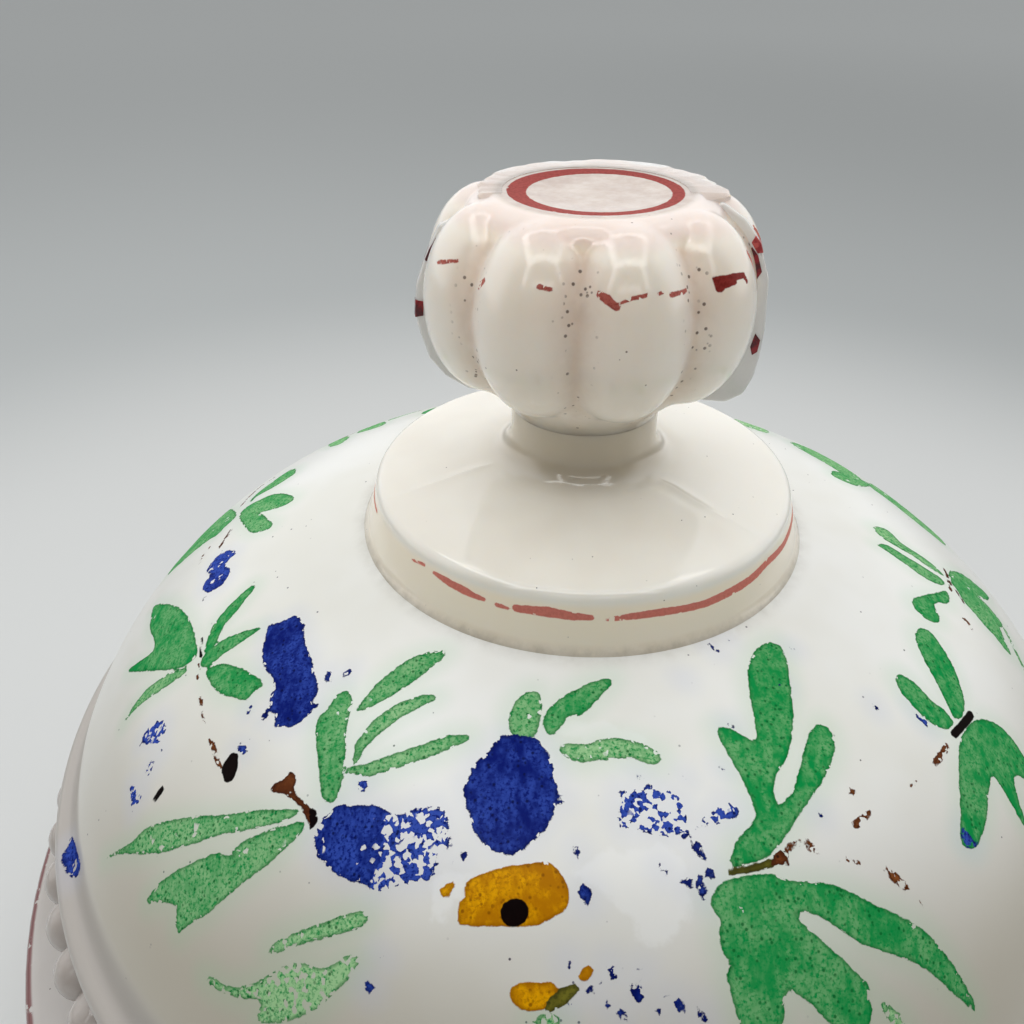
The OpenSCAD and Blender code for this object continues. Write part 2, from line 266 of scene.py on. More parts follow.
FRONT_FLOWER = [
    ("blue", 0.12, [(-18.4, 14.9), (-17.8, 14.3), (-18.1, 12.9), (-16, 11.3), (-15.8, 10), (-13.3, 9.4),
        (-10.1, 9.4), (-8.4, 10.3), (-7.3, 11.3), (-6.3, 13.2), (-6.1, 15.2), (-6.7, 17), (-8, 18.3),
        (-9.6, 19.5), (-10.9, 20.1), (-12.4, 20), (-14.2, 19.5), (-15.7, 18.5), (-16.4, 17.5),
        (-17.8, 16.1)]),
    ("green", 0.25, [(-14.8, 8.3), (-14.9, 7), (-14, 5.5), (-12.4, 4.7), (-10.5, 4.9), (-9.7, 6.2),
        (-9.8, 7.5), (-9.9, 9.3), (-11.9, 10), (-14, 9.5)]),
    ("green", 0.15, [(-9.3, 7.8), (-8.8, 6.4), (-6.8, 5.2), (-3.2, 3.8), (0.3, 3), (2.8, 2.9),
        (2.9, 3.4), (1, 4.5), (-1.8, 6.1), (-3.1, 6.9), (-5.3, 6.9), (-6.2, 8.1), (-7.2, 9), (-8.6, 9)]),
    ("green", 0.28, [(-6.7, 10), (-4.3, 9.6), (-1.6, 9.7), (-0.8, 9.2), (1.6, 9), (5.4, 9.5),
        (7.5, 10.3), (8.7, 11.1), (8, 11.8), (6.6, 11.8), (4.9, 11.2), (2.4, 11), (-0.6, 11.2),
        (-3.1, 11.5), (-4.9, 11.2), (-6.1, 10.6)]),
    ("ochre", 0.1, [(-15.3, 23.1), (-14.3, 22.2), (-12.5, 21.4), (-10.7, 20.8), (-8.6, 20.4),
        (-6.6, 20), (-5.6, 20.6), (-4.6, 21.4), (-4.2, 22.5), (-4.2, 23.5), (-5.5, 24.3), (-6.9, 25),
        (-8.4, 25.3), (-10.6, 25.5), (-12.8, 25.9), (-14.9, 26.2), (-15.1, 25.2), (-15.3, 24.4),
        (-14.6, 23.8)]),
    ("black", 0, [(-9.7, 24.4, 1.07), (-9.4, 24.3, 1.07)]),
    ("ochre", 0.1, [(-17.6, 24), (-17.1, 23.4), (-16.2, 22.8), (-16, 23.1), (-16.3, 24.2), (-16.6, 24.5)]),
    ("ochre", 0.12, [(-9.3, 30.1), (-8.5, 29.5), (-7, 29.3), (-5.4, 29.1), (-5, 29.6), (-4.2, 29.8),
        (-5.5, 31), (-6.8, 31.5), (-8.1, 31.4), (-9.1, 30.8)]),
    ("olive", 0.2, [(-5.6, 31, 0.4), (-4.4, 30.1, 0.62), (-3.4, 29.5, 0.4)]),
    ("ochre", 0.12, [(-3.2, 28.5), (-2.4, 27.7), (-1.7, 27.8), (-1.8, 28.5), (-2.4, 29.1), (-3.1, 28.9)]),
    ("blue", 0.2, [(-33, 24), (-33.2, 22.9), (-32.7, 21.7), (-31.9, 20.4), (-30, 20.1), (-27.8, 19.1),
        (-25.8, 19.4), (-24, 21.2), (-23.5, 23.3), (-23.6, 24.8), (-25.1, 25.5), (-27.3, 25.9),
        (-29.3, 25.8), (-31.2, 25.4), (-32.2, 24.9)]),
    ("blue", 0.62, [(-26.9, 19.3), (-24.5, 19.3), (-23.4, 18.3), (-21.1, 17.5), (-19, 17.7),
        (-17.8, 20.1), (-18.6, 22), (-18.4, 23.3), (-21.4, 24.4), (-24.9, 26.3), (-24.8, 23.6)]),
    ("blue", 0.35, [(-31.5, 18.3), (-31.2, 17.7), (-30, 17.8), (-29.7, 18.6), (-30.6, 18.8)]),
    ("blue", 0.8, [(1, 15.9), (1.9, 14.1), (4.3, 13.8), (6.7, 13.7), (9.7, 14.6), (10.1, 16.4),
        (9.2, 18), (6.4, 18.2), (3.5, 17.4), (1.7, 17.4)]),
    ("green", 0.4, [(-6.7, 31.6), (-4.8, 31.4), (-4.3, 32.4), (-7.1, 32.6)]),
    ("blue", 0.35, [(-21.9, 30), (-21.3, 30), (-20.7, 30.5), (-21.3, 30.5)]),
    ("blue", 0.35, [(-22.3, 33), (-22, 32), (-21, 32.7), (-21.4, 33.3)]),
    ("blue", 0.5, [(-4.4, 30.7), (-2.8, 30.4), (-3.3, 30.9)]),
]
RIGHT_SPRAY = [
    ("green", 0.1, [(29.7, 4.8), (34, 3.5), (37.8, 3.5), (39.5, 4.5), (38, 6), (34.2, 8.5),
        (30.7, 11.2), (28.6, 12.6), (25.8, 14.2), (22.4, 15.4), (21.4, 17.1), (21.4, 17.8),
        (24.3, 16.9), (27.2, 15.1), (31, 13), (33.9, 12.6), (34.7, 13.9), (33.3, 15.4), (29.7, 16.9),
        (25.5, 18.2), (22.2, 19.4), (20.1, 20.5), (17.7, 21.3), (15.8, 21.4), (13, 21.4), (13.9, 20.1),
        (15.3, 19.1), (18.2, 18.1), (18.5, 16), (18.3, 13.6), (17.8, 11), (18.1, 9.2), (20.5, 9.9),
        (21.9, 11.2), (23.1, 11.9), (25, 9.4), (27.2, 6.7)]),
    ("olive", 0.08, [(13.1, 21.6, 0.31), (15.3, 21.7, 0.36), (17.7, 21.8, 0.34), (18.5, 21.7, 0.36)]),
    ("brown", 0.05, [(18.2, 21.8, 0.36), (19.1, 21.6, 0.59), (19.6, 22.1, 0.3)]),
    ("brown", 0.4, [(20.2, 21.1, 0.22), (21.5, 21, 0.3), (23.1, 21.1, 0.25)]),
    ("brown", 0.45, [(22.4, 21.6, 0.2), (23.2, 21.9, 0.35), (24, 22.3, 0.2)]),
    ("green", 0.14, [(12.8, 22.1), (17.4, 22.4), (19, 23.5), (22.3, 24.4), (24.7, 25.7), (27, 27.8),
        (29.4, 29.8), (31.4, 32.1), (32.4, 34.9), (33.1, 37.4), (33.7, 40.9), (33.1, 40.3),
        (31.5, 37.7), (30.5, 35.8), (28.8, 33.5), (26.2, 31.6), (24, 30.1), (22.1, 28), (20.4, 26.5),
        (18.2, 25.8), (19.4, 27.5), (21.2, 29.8), (22.7, 32), (23.6, 33.4), (23.1, 34.1), (23.1, 35.1),
        (22.5, 36.1), (21.2, 36.7), (19.1, 35.3), (17.7, 33.1), (16, 31.3), (15.5, 31.4), (14.6, 33.7),
        (14, 35), (10.9, 34.3), (10.4, 30), (10.4, 28.8), (11.3, 28.6), (10.3, 27.5), (10.4, 25.9),
        (11, 25.2), (10.1, 23.9), (10.4, 23.2), (11.8, 22.3)]),
    ("green", 0.35, [(24.2, 35.3, 0.37), (25, 36.9, 0.64), (25.4, 38.9, 0.54)]),
    ("brown", 0.45, [(48.4, 22, 0.34), (44.8, 22, 0.39)]),
    ("brown", 0.4, [(40.3, 21.9, 0.19), (39.3, 21.7, 0.24)]),
    ("brown", 0.4, [(31.9, 21.4, 0.31), (29.4, 21.6, 0.36)]),
    ("brown", 0.3, [(31.3, 19.1, 0.36), (31.7, 19.4, 0.34)]),
    ("brown", 0.45, [(26.2, 23.6, 0.2), (27.5, 24.5, 0.21)]),
    ("brown", 0.42, [(30, 25.7, 0.21), (30.7, 26.9, 0.45), (31.5, 28.3, 0.26)]),
    ("brown", 0.45, [(32, 29.5, 0.13), (32.1, 30.1, 0.16)]),
    ("blue", 0.55, [(13.7, 16.4), (14.9, 15.7), (16.5, 16.6), (16.1, 17.7), (13.7, 17.7), (10.7, 17.9),
        (10.8, 17.3)]),
]
FAR_RIGHT_SPRAY = [
    ("green", 0.1, [(63.1, 14.6), (65.2, 15), (66, 16.3), (63.7, 18.3), (60.6, 20.3), (56.1, 22.2),
        (52.6, 21.7), (55.1, 19.3), (58.5, 16.4), (61, 15)]),
    ("green", 0.1, [(51.4, 14.3), (52.8, 14.8), (53.2, 16.6), (52.5, 18.4), (53, 20.5), (52.6, 21.6),
        (50.5, 21.3), (49, 19.8), (49.1, 17.2), (49.7, 15.4)]),
    ("black", 0.1, [(50.8, 22, 0.44), (56.1, 22.8, 0.45)]),
    ("green", 0.1, [(51.2, 22.5), (56.6, 23.4), (58.8, 26), (59, 28.3), (58.4, 30.3), (57.2, 33.1),
        (56.3, 32.4), (54.5, 29.3), (52.3, 30.9), (51, 33.1), (50.3, 33), (50.7, 30.7), (51.1, 28.5),
        (51.4, 27.1), (48.4, 27.9), (45.7, 29.1), (42.7, 29.7), (41.6, 29.7), (40.6, 28.8), (40.7, 28),
        (43.3, 26.5), (46.5, 24.3)]),
    ("blue", 0.45, [(40.9, 27.9), (42.5, 27.4), (42.2, 28.9), (42.9, 29.6), (41.7, 29.8), (40.7, 28.9)]),
    ("blue", 0.5, [(48.8, 16.7), (48.7, 18.3), (49, 19.8), (48, 19.6), (48, 18.1)]),
    ("blue", 0.1, [(44, 14.4, 0.22), (43.7, 15, 0.22)]),
]
EDGE_SPRAYS = [
    ("green", 0.2, [(-110.4, 30), (-104, 23.5), (-101.3, 22.2), (-100.1, 23.3), (-97.6, 23.8),
        (-97.9, 25.5), (-97.3, 26.9), (-97, 28.6), (-96.4, 30.4), (-96.4, 32.7), (-96.5, 34.8),
        (-100.2, 35.6), (-101.1, 33.6), (-103.1, 32.8), (-105.7, 33), (-108.5, 31.4)]),
    ("green", 0.2, [(-116.4, 19.1), (-113.6, 17.4), (-111.7, 18), (-109.7, 18.9), (-108.5, 20.3),
        (-107.7, 21.9), (-105, 21.6), (-107.8, 22.8), (-110.3, 22.6), (-112.5, 22), (-115.1, 21.4),
        (-117, 20.8)]),
    ("green", 0.2, [(-102.1, 12.5), (-100.5, 12.3), (-99.3, 13.2), (-98.9, 14.9), (-99.2, 16.8),
        (-100, 18.9), (-100.5, 20.4), (-102.3, 22), (-104.1, 22), (-104.8, 21), (-105.4, 19.4),
        (-106, 17.8), (-104.8, 15.1), (-103.2, 13.4)]),
    ("green", 0.2, [(-101.5, 21.8), (-102.3, 21.3), (-100.8, 18.7), (-98.1, 16.1), (-95.6, 14.7),
        (-93.4, 13.3), (-91.7, 13.5), (-91.5, 14.6), (-91.9, 16), (-93.8, 17.3), (-97.8, 19.5)]),
    ("brown", 0.3, [(-116.3, 23.6, 0.2), (-113.8, 25.4, 0.3), (-108.8, 24.7, 0.3), (-105.4, 23.8, 0.2)]),
    ("brown", 0.1, [(-97.2, 21.1, 0.24), (-94.3, 21.1, 0.3), (-91.9, 21.5, 0.26)]),
    ("brown", 0.4, [(-94.5, 23.9, 0.22), (-92.5, 24.5, 0.22), (-88.8, 24, 0.16)]),
    ("blue", 0.25, [(-88.3, 17.7), (-87.2, 17.6), (-86.3, 18.7), (-85.1, 18.8), (-83.3, 17.7),
        (-81.6, 17.8), (-80, 18.5), (-79.7, 19.8), (-79.9, 20.8), (-82, 21.8), (-83.6, 21.7),
        (-84.3, 20.7), (-86.5, 22), (-87.8, 21.9), (-89.3, 21.3), (-90.1, 20.1), (-89.5, 18.8)]),
    ("black", 0.1, [(-79.4, 21, 0.27), (-78.9, 21.2, 0.24)]),
    ("green", 0.25, [(-125.5, 19.2), (-126.3, 16.6), (-131.1, 18.6), (-133.5, 23), (-132, 23.4),
        (-130.1, 24.2)]),
    ("green", 0.25, [(-132.7, 19.2), (-134, 16.8), (-136, 15.9), (-138.4, 16.2), (-141.3, 21.4),
        (-139.3, 21.2), (-138, 21.4), (-136.3, 22.2)]),
    ("green", 0.35, [(-140.3, 18.6), (-144, 19), (-149, 19.4), (-149.5, 20.6), (-145.8, 21), (-142, 21)]),
    ("green", 0.35, [(140.4, 13.6), (135.2, 13.8), (131.2, 15.2), (135.1, 20.1), (138.9, 19.8),
        (142.6, 19.3)]),
    ("green", 0.25, [(126.3, 15.5), (121, 15.3), (116.9, 15.8), (113.2, 16.2), (109.8, 17.7),
        (113.6, 21.5), (118.9, 22.4), (122.6, 22.4), (126.2, 21.9), (128.2, 18)]),
    ("green", 0.2, [(110.9, 12.6), (108.6, 13.9), (107.6, 15.7), (109.4, 19.4), (113.4, 23.2),
        (112.4, 19.6), (112.8, 17.3), (113.9, 14.9)]),
    ("green", 0.25, [(110.5, 20), (106.5, 21.2), (101.7, 22.5), (98.5, 25.1), (97.3, 27.3), (101, 29.7),
        (103.3, 29.6), (105.8, 26.6), (111, 26.1), (115.1, 25.1)]),
    ("green", 0.25, [(90.8, 11.4), (92, 12.7), (91.2, 14.2), (88.6, 14.6), (87.3, 16), (86.6, 17.5),
        (85.7, 18.7), (84.5, 19.8), (83.5, 20.1), (83.4, 19), (84, 17.5), (85, 16.1), (85.8, 14.6),
        (86.5, 13.3), (87.5, 12.2), (88.9, 11.6)]),
    ("green", 0.2, [(84.2, 10.5), (85.8, 12), (85, 13.3), (84, 14.5), (83.5, 15.9), (82.8, 17.3),
        (82.6, 18.8), (81.4, 19.7), (80.2, 19.1), (79.4, 17.4), (79.7, 16), (80.6, 14.6), (81.7, 13.5),
        (82.7, 12.3), (83.9, 11.2)]),
    ("green", 0.14, [(71.1, 13.9), (72.8, 14.6), (75.3, 16.4), (78.2, 18.4), (79.7, 19.8), (76.5, 19.4),
        (75.2, 18.6), (74.8, 17.8), (73.6, 17), (72.1, 16.9), (71.2, 17.4), (69.8, 17.6), (68.5, 16.8),
        (68.1, 15.8), (68.7, 14.8), (69.4, 14.1)]),
    ("green", 0.2, [(86.4, 21.5), (88.2, 23.9), (89, 26.1), (88.5, 27.9), (88.6, 29.5), (87.7, 30.2),
        (85.4, 28.2), (84.1, 25.7), (83.9, 27.2), (82.9, 28.6), (81.8, 29.7), (79.5, 28.1), (77.3, 28.2),
        (75.9, 28.6), (74.6, 28.9), (74.7, 27.5), (75.9, 26.4), (76.4, 24.8), (77.8, 23.4), (79.2, 22),
        (81.6, 21.4), (82.7, 20.8)]),
    ("green", 0.3, [(80.5, 29.5, 0.35), (77.3, 30.2, 0.4), (75, 31, 0.35), (72, 33, 0.2)]),
    ("brown", 0.15, [(86.6, 20.9, 0.2), (83.4, 20.6, 0.28), (80.2, 20.2, 0.24)]),
    ("brown", 0.15, [(82, 20.7, 0.18), (80.7, 21.3, 0.24), (78.9, 21.8, 0.2)]),
    ("brown", 0.35, [(74.4, 20.5, 0.18), (74.3, 21.5, 0.34), (72.8, 22.2, 0.16)]),
]
WIPED_PATCHES = [
    ("wiped", 0.3, [(-4.4, 20.8), (-2.2, 19.9), (0.1, 19.2), (3.7, 18.7), (7.9, 19.3), (8.4, 22.5),
        (7, 25.8), (4.6, 26.3), (2.7, 25.7), (1.3, 23.6), (-0.1, 22.4), (-2.5, 21.6)]),
    ("wiped", 0.3, [(-18.3, 24.6), (-18.2, 22.6), (-16.1, 21.9), (-14.1, 22), (-15.8, 23.6),
        (-16.2, 25.6), (-17.7, 26.3)]),
    ("wiped", 0.3, [(-6.5, 7.9), (-1.7, 7.3), (3.9, 8.1), (7.4, 9.3), (5.7, 9.9), (-0.2, 9.1), (-5.6, 9)]),
]

# %% [markdown]
# Where a flower has worn off, single flecks of blue are left. Each is given as its place and half
# width, and becomes a short stroke that ends in a point.

# %% Flecks
FLECKS = [
    (4.7, 12.9, 0.16), (5.7, 13.3, 0.14), (2.2, 14.3, 0.2), (8.9, 17.9, 0.26), (10.1, 19.2, 0.38),
    (9.8, 18.5, 0.2), (10.5, 20.2, 0.16), (5.9, 20.6, 0.26), (9.6, 21.8, 0.3), (10.9, 21.5, 0.28),
    (8.5, 22, 0.24), (9.6, 22.7, 0.34), (7.8, 21.9, 0.14), (0, 28.1, 0.3), (-0.4, 27.8, 0.16),
    (2.1, 29.6, 0.38), (5.8, 30.9, 0.36), (7.6, 31.8, 0.3), (-2, 29.7, 0.22), (0.7, 31.3, 0.28),
    (-0.5, 30.6, 0.24), (-4, 27.7, 0.2), (-3.4, 19.1, 0.26), (-5.5, 14.9, 0.22), (-2.6, 22.3, 0.42),
    (2.7, 28.2, 0.13), (4.7, 30.1, 0.13), (-1.3, 29.1, 0.15), (3.9, 31.2, 0.16), (-15.8, 20.7, 0.24),
    (-18, 19.9, 0.28), (-20.4, 17.9, 0.3), (-19.2, 18.9, 0.2), (-16.9, 21.5, 0.16), (11, 13.4, 0.12),
    (20.6, 9.6, 0.18), (16.4, 13.2, 0.14), (-58.5, 29.7, 0.2), (-62.7, 31.7, 0.24), (-56.6, 35.6, 0.2),
    (-52, 19.5, 0.22), (-57.5, 34.7, 0.3), (-49.3, 18.6, 0.32), (33, 8, 0.14), (26, 19.6, 0.16),
    (26.2, 1.8, 0.16), (25.7, 1.2, 0.12), (26.7, 2.2, 0.1), (16.5, 3.9, 0.14), (40.8, 5.5, 0.14),
    (30.1, 1.4, 0.1),
]
FLECK_SHAPES = [
    ("blue", 0.05, [(a - 0.3, d - 1.3 * w, 0.6 * w), (a, d, 1.3 * w), (a + 0.2, d + 1.3 * w, 0.9 * w)])
    for a, d, w in FLECKS
]
print(len(FLECK_SHAPES), "flecks")

# %% [markdown]
# ## Laying the enamel on the dome
# Each shape is either an outline, closed and rounded off, or a brush stroke with a half width at
# each point. Places are given as degrees round from the front and millimetres down the dome from
# the collar. For every point of the dome the signed distance to the nearest shape of each colour
# is kept, negative inside, with that shape's wear. The material then cuts the edge with noise, so
# the paint can flake and fray far more finely than the mesh. The back repeats the front's sprays.

# %% Distance helpers
PIGMENTS = ("green", "blue", "ochre", "olive", "brown", "black")
NO_PAINT = 8.0
crown_drop = CROWN_R * math.radians(SHOULDER_FROM_DEG - crown_from)


def round_off(outline, times=2):
    """Cuts the corners of a closed outline, as a loaded brush would."""
    points = np.array(outline, float)
    for _ in range(times):
        after = np.roll(points, -1, axis=0)
        points = np.stack([points * 0.78 + after * 0.22, points * 0.22 + after * 0.78], 1)
        points = points.reshape(-1, 2)
    return points


def dome_radius(drop):
    """Distance of the dome's skin from the axis, this far down from the collar."""
    crown = CROWN_R * np.sin(math.radians(crown_from) + drop / CROWN_R)
    turn = math.radians(SHOULDER_FROM_DEG) + (drop - crown_drop) / SHOULDER_R
    return np.where(drop < crown_drop, crown, SHOULDER_MID[0] + SHOULDER_R * np.sin(turn))


def along_edges(spots, starts, ends):
    """For each spot and edge: the share along the edge that is nearest, and the distance."""
    edge = ends - starts
    away = spots[:, None] - starts[None]
    share = (away * edge).sum(2) / np.maximum((edge**2).sum(1), 1e-9)
    share = np.clip(share, 0, 1)
    return share, np.linalg.norm(away - share[..., None] * edge[None], axis=2)


def outline_distance(spots, outline):
    """Signed distance to a closed outline."""
    ends = np.roll(outline, -1, axis=0)
    nearest = along_edges(spots, outline, ends)[1].min(1)
    x, y = spots[:, :1], spots[:, 1:]
    crosses = (outline[:, 1] > y) != (ends[:, 1] > y)
    rise = np.where(ends[:, 1] == outline[:, 1], 1e-9, ends[:, 1] - outline[:, 1])
    left = x < outline[:, 0] + (y - outline[:, 1]) * (ends[:, 0] - outline[:, 0]) / rise
    inside = (crosses & left).sum(1) % 2 == 1
    return np.where(inside, -nearest, nearest)


def stroke_distance(spots, line, widths):
    """Signed distance to a brush stroke with a half width at each of its points."""
    share, distance = along_edges(spots, line[:-1], line[1:])
    return (distance - widths[:-1] - share * (widths[1:] - widths[:-1])).min(1)


def lay_shapes(shapes, turn_deg, azimuth, drop, field, wear):
    """Lets each painted shape, turned round the axis, claim the points that it is nearest to."""
    for pigment, worn, points in shapes:
        points = np.array(points, float)
        middle = points[:, 0].mean()
        off = (azimuth - middle - turn_deg + 180) % 360 - 180
        across = np.radians(off) * dome_radius(drop)
        flat = np.stack([np.radians(points[:, 0] - middle) * dome_radius(points[:, 1]), points[:, 1]], 1)
        low, high = flat.min(0) - NO_PAINT, flat.max(0) + NO_PAINT
        near = (across > low[0]) & (across < high[0]) & (drop > low[1]) & (drop < high[1])
        spots = np.stack([across[near], drop[near]], 1)
        if points.shape[1] == 3:
            distance = stroke_distance(spots, flat, points[:, 2])
        else:
            distance = outline_distance(spots, round_off(flat))
        old = field[pigment][near]
        field[pigment][near] = np.minimum(old, distance)
        wear[pigment][near] = np.where(distance < old, worn, wear[pigment][near])


# %% Lay the sprays
spots = places(dome)
radius = np.hypot(spots[:, 0], spots[:, 1])
crown_turn = np.arctan2(radius, spots[:, 2] - CROWN_MID[1])
shoulder_turn = np.arctan2(radius - SHOULDER_MID[0], spots[:, 2] - SHOULDER_MID[1])
on_crown = crown_turn < math.radians(SHOULDER_FROM_DEG)
drop = np.where(
    on_crown,
    CROWN_R * (crown_turn - math.radians(crown_from)),
    crown_drop + SHOULDER_R * (shoulder_turn - math.radians(SHOULDER_FROM_DEG)),
)
height = np.where(
    on_crown,
    np.hypot(radius, spots[:, 2] - CROWN_MID[1]) - CROWN_R,
    np.hypot(radius - SHOULDER_MID[0], spots[:, 2] - SHOULDER_MID[1]) - SHOULDER_R,
)
outside = (height > -2.5) & (drop > -1)
azimuth = bearing(spots)
field = {p: np.full(len(spots), NO_PAINT) for p in (*PIGMENTS, "wiped")}
wear = {p: np.full(len(spots), 0.3) for p in field}
front_sprays = (FAR_LEFT_SPRAY, LEFT_SPRAY, FRONT_FLOWER, RIGHT_SPRAY, FAR_RIGHT_SPRAY, EDGE_SPRAYS)
for shapes in (*front_sprays, FLECK_SHAPES, WIPED_PATCHES):
    lay_shapes(shapes, 0, azimuth, drop, field, wear)
for shapes in (LEFT_SPRAY, FRONT_FLOWER, RIGHT_SPRAY):
    lay_shapes(shapes, 180, azimuth, drop, field, wear)
for pigment in field:
    keep_values(dome, pigment, np.where(outside, np.minimum(field[pigment], NO_PAINT), NO_PAINT))
    keep_values(dome, pigment + "_wear", wear[pigment])
keep_values(dome, "drop", np.where(outside, drop, 60))
print({p: int((field[p][outside] < 0).sum()) for p in PIGMENTS}, "painted points")

# %% [markdown]
# ## The collar and the neck
# The finial starts as a low collar with a rounded edge. Its top climbs a little to the neck, which
# sweeps up into the knob. It is turned like the dome, with close rings on the collar's side, where
# a thin red line was painted. The foot gets a small fillet, because hot glass never meets hot
# glass in a sharp corner.

# %% Collar and neck
COLLAR_EDGE_MID, COLLAR_EDGE_R = (22.8, 105.3), 1.2
NECK_SWEEP_MID, NECK_SWEEP_R = (11.4, 111.9), 3.2
STEM_STEPS = 720

stem_profile = [(0, 99.4), (20, 99.4), (25.95, 99.75), (25.8, 100.2), (25.5, 100.6), (25.2, 101.1)]
stem_profile += straight((25.2, 101.1), (24.02, 105.25), 16)
stem_profile += arc(COLLAR_EDGE_MID, COLLAR_EDGE_R, 84, 11, 9)
stem_profile += straight(stem_profile[-1], (11.9, 108.62), 22)
stem_profile += arc(NECK_SWEEP_MID, NECK_SWEEP_R, 186, 266, 14)
stem_profile += straight(stem_profile[-1], (8.2, 115.2), 6)
stem_profile += [(8.2, 117), (8, 121), (0, 121)]
stem = turned("collar_and_neck", stem_profile, STEM_STEPS, 50)
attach(stem, "lid")

# %% [markdown]
# The mould had three parts, and a little glass crept in where they met. On the collar's top that
# left low seams, which run straight out from the neck. They are raised by moving the points of the
# turned surface, because a ridge this low is a dent in the mould and no piece of its own.

# %% Mould seams
SEAMS_DEG = (-72, 50, 168)
SEAM_UP, SEAM_HALF, MOULD_STEP = 0.13, 0.75, 0.09

stem_points = places(stem)
stem_out = np.hypot(stem_points[:, 0], stem_points[:, 1])
past_neck = np.clip((stem_out - 10.4) / 2, 0, 1)
short_of_edge = np.clip((24.3 - stem_out) / 0.8, 0, 1)
on_top = past_neck * short_of_edge * (stem_points[:, 2] > 104.6)
on_top *= 1 - 0.7 * np.clip((stem_out - 13) / 8, 0, 1)
for seam in SEAMS_DEG:
    off = np.radians((bearing(stem_points) - seam + 180) % 360 - 180) * stem_out
    ridge = SEAM_UP * np.exp(-((off / SEAM_HALF) ** 2))
    step = MOULD_STEP * np.where(off > 0, np.exp(-off / 5), 0)
    stem_points[:, 2] += on_top * (ridge + step)
stem.data.vertices.foreach_set("co", (stem_points * MM).ravel())
stem.data.update()
print("seams at", SEAMS_DEG)

# %% [markdown]
# ## The melon knob
# Nine tall lobes stand round a core, three for each part of the mould. A lobe is a stretched
# sphere, repeated round the axis. Joined as they are, the lobes would meet in knife-sharp valleys.
# Pressed glass is reheated after it leaves the mould, which melts them soft, so the lot is
# remeshed into one skin and then smoothed. A bevel couldn't follow such valleys.

# %% Knob
LOBES, LOBE_TURN_DEG = 9, 11.5
LOBE_R, LOBE_HALF_H, LOBE_AT, LOBE_MID_Z = 6.6, 9.6, 11.25, 128.2
KNOB_TOP = 137.9
SKIN_MM = 0.3

core_profile = [(0, 113.2), (7.6, 113.4), (8.1, 114.6), (8.35, 115.3), (8.8, 116.1), (9.9, 117.1)]
core_profile += [(12.2, 119.2), (13.7, 122), (14, 126), (13.9, 132.2), (13.1, 135.2)]
core_profile += [(12.5, 136.9), (11.6, 137.5), (10.2, KNOB_TOP), (8.2, KNOB_TOP - 0.12)]
core_profile += [(5, KNOB_TOP - 0.4), (0, KNOB_TOP - 0.5)]
knob = turned("melon_knob", core_profile, 96)
for i in range(LOBES):
    bpy.ops.object.select_all(action="DESELECT")
    turn = math.radians(LOBE_TURN_DEG + 360 * i / LOBES)
    bpy.ops.mesh.primitive_uv_sphere_add(
        segments=40,
        ring_count=28,
        radius=LOBE_R * MM,
        location=(LOBE_AT * MM * math.sin(turn), -LOBE_AT * MM * math.cos(turn), LOBE_MID_Z * MM),
        scale=(1, 1, LOBE_HALF_H / LOBE_R),
    )
    bpy.ops.object.transform_apply(location=True, rotation=True, scale=True)
    knob.select_set(True)
    bpy.context.view_layer.objects.active = knob
    bpy.ops.object.join()
skin = knob.modifiers.new("one_skin", "REMESH")
skin.mode, skin.voxel_size = "VOXEL", SKIN_MM * MM
bpy.ops.object.modifier_apply(modifier=skin.name)
melt = knob.modifiers.new("fire_polish", "SMOOTH")
melt.factor, melt.iterations = 0.5, 26
bpy.ops.object.modifier_apply(modifier=melt.name)
bpy.ops.object.shade_smooth()
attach(knob, "lid")
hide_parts("lid_finial")
tell(knob)

# %% [markdown]
# ## Clear flash
# At the knob's seams and round its flat top the glass ran out thin, and thin opal glass is almost
# clear. So there are three slips of clear glass: a fin on the left, a broader one on the right
# with its lower corner chipped off, and a ragged lip round the top that broke away at the front.
# A fin is an outline in the plane through the axis, filled, thickened and rounded.

# %% Fins
FIN_T, FIN_ROUND = 0.9, 0.3
LEFT_FIN_DEG, RIGHT_FIN_DEG = -80, 78
LEFT_FIN = [(11.6, 136.9), (15.5, 135.3), (16.8, 132.7), (18, 129.6), (18.3, 127), (18, 124.8)]
LEFT_FIN += [(17.1, 121.6), (15.5, 119.4), (13.1, 117.7), (11, 117.2), (9.8, 119), (9.5, 127), (10, 136)]
RIGHT_FIN = [(12.3, 137.4), (14.6, 136), (16.2, 134.1), (17.7, 130.3), (18.1, 125), (18, 121.9)]
RIGHT_FIN += [(17.7, 119.6), (16.9, 117.6), (15.2, 116.5), (10.7, 116.4), (9.5, 127), (10, 136)]


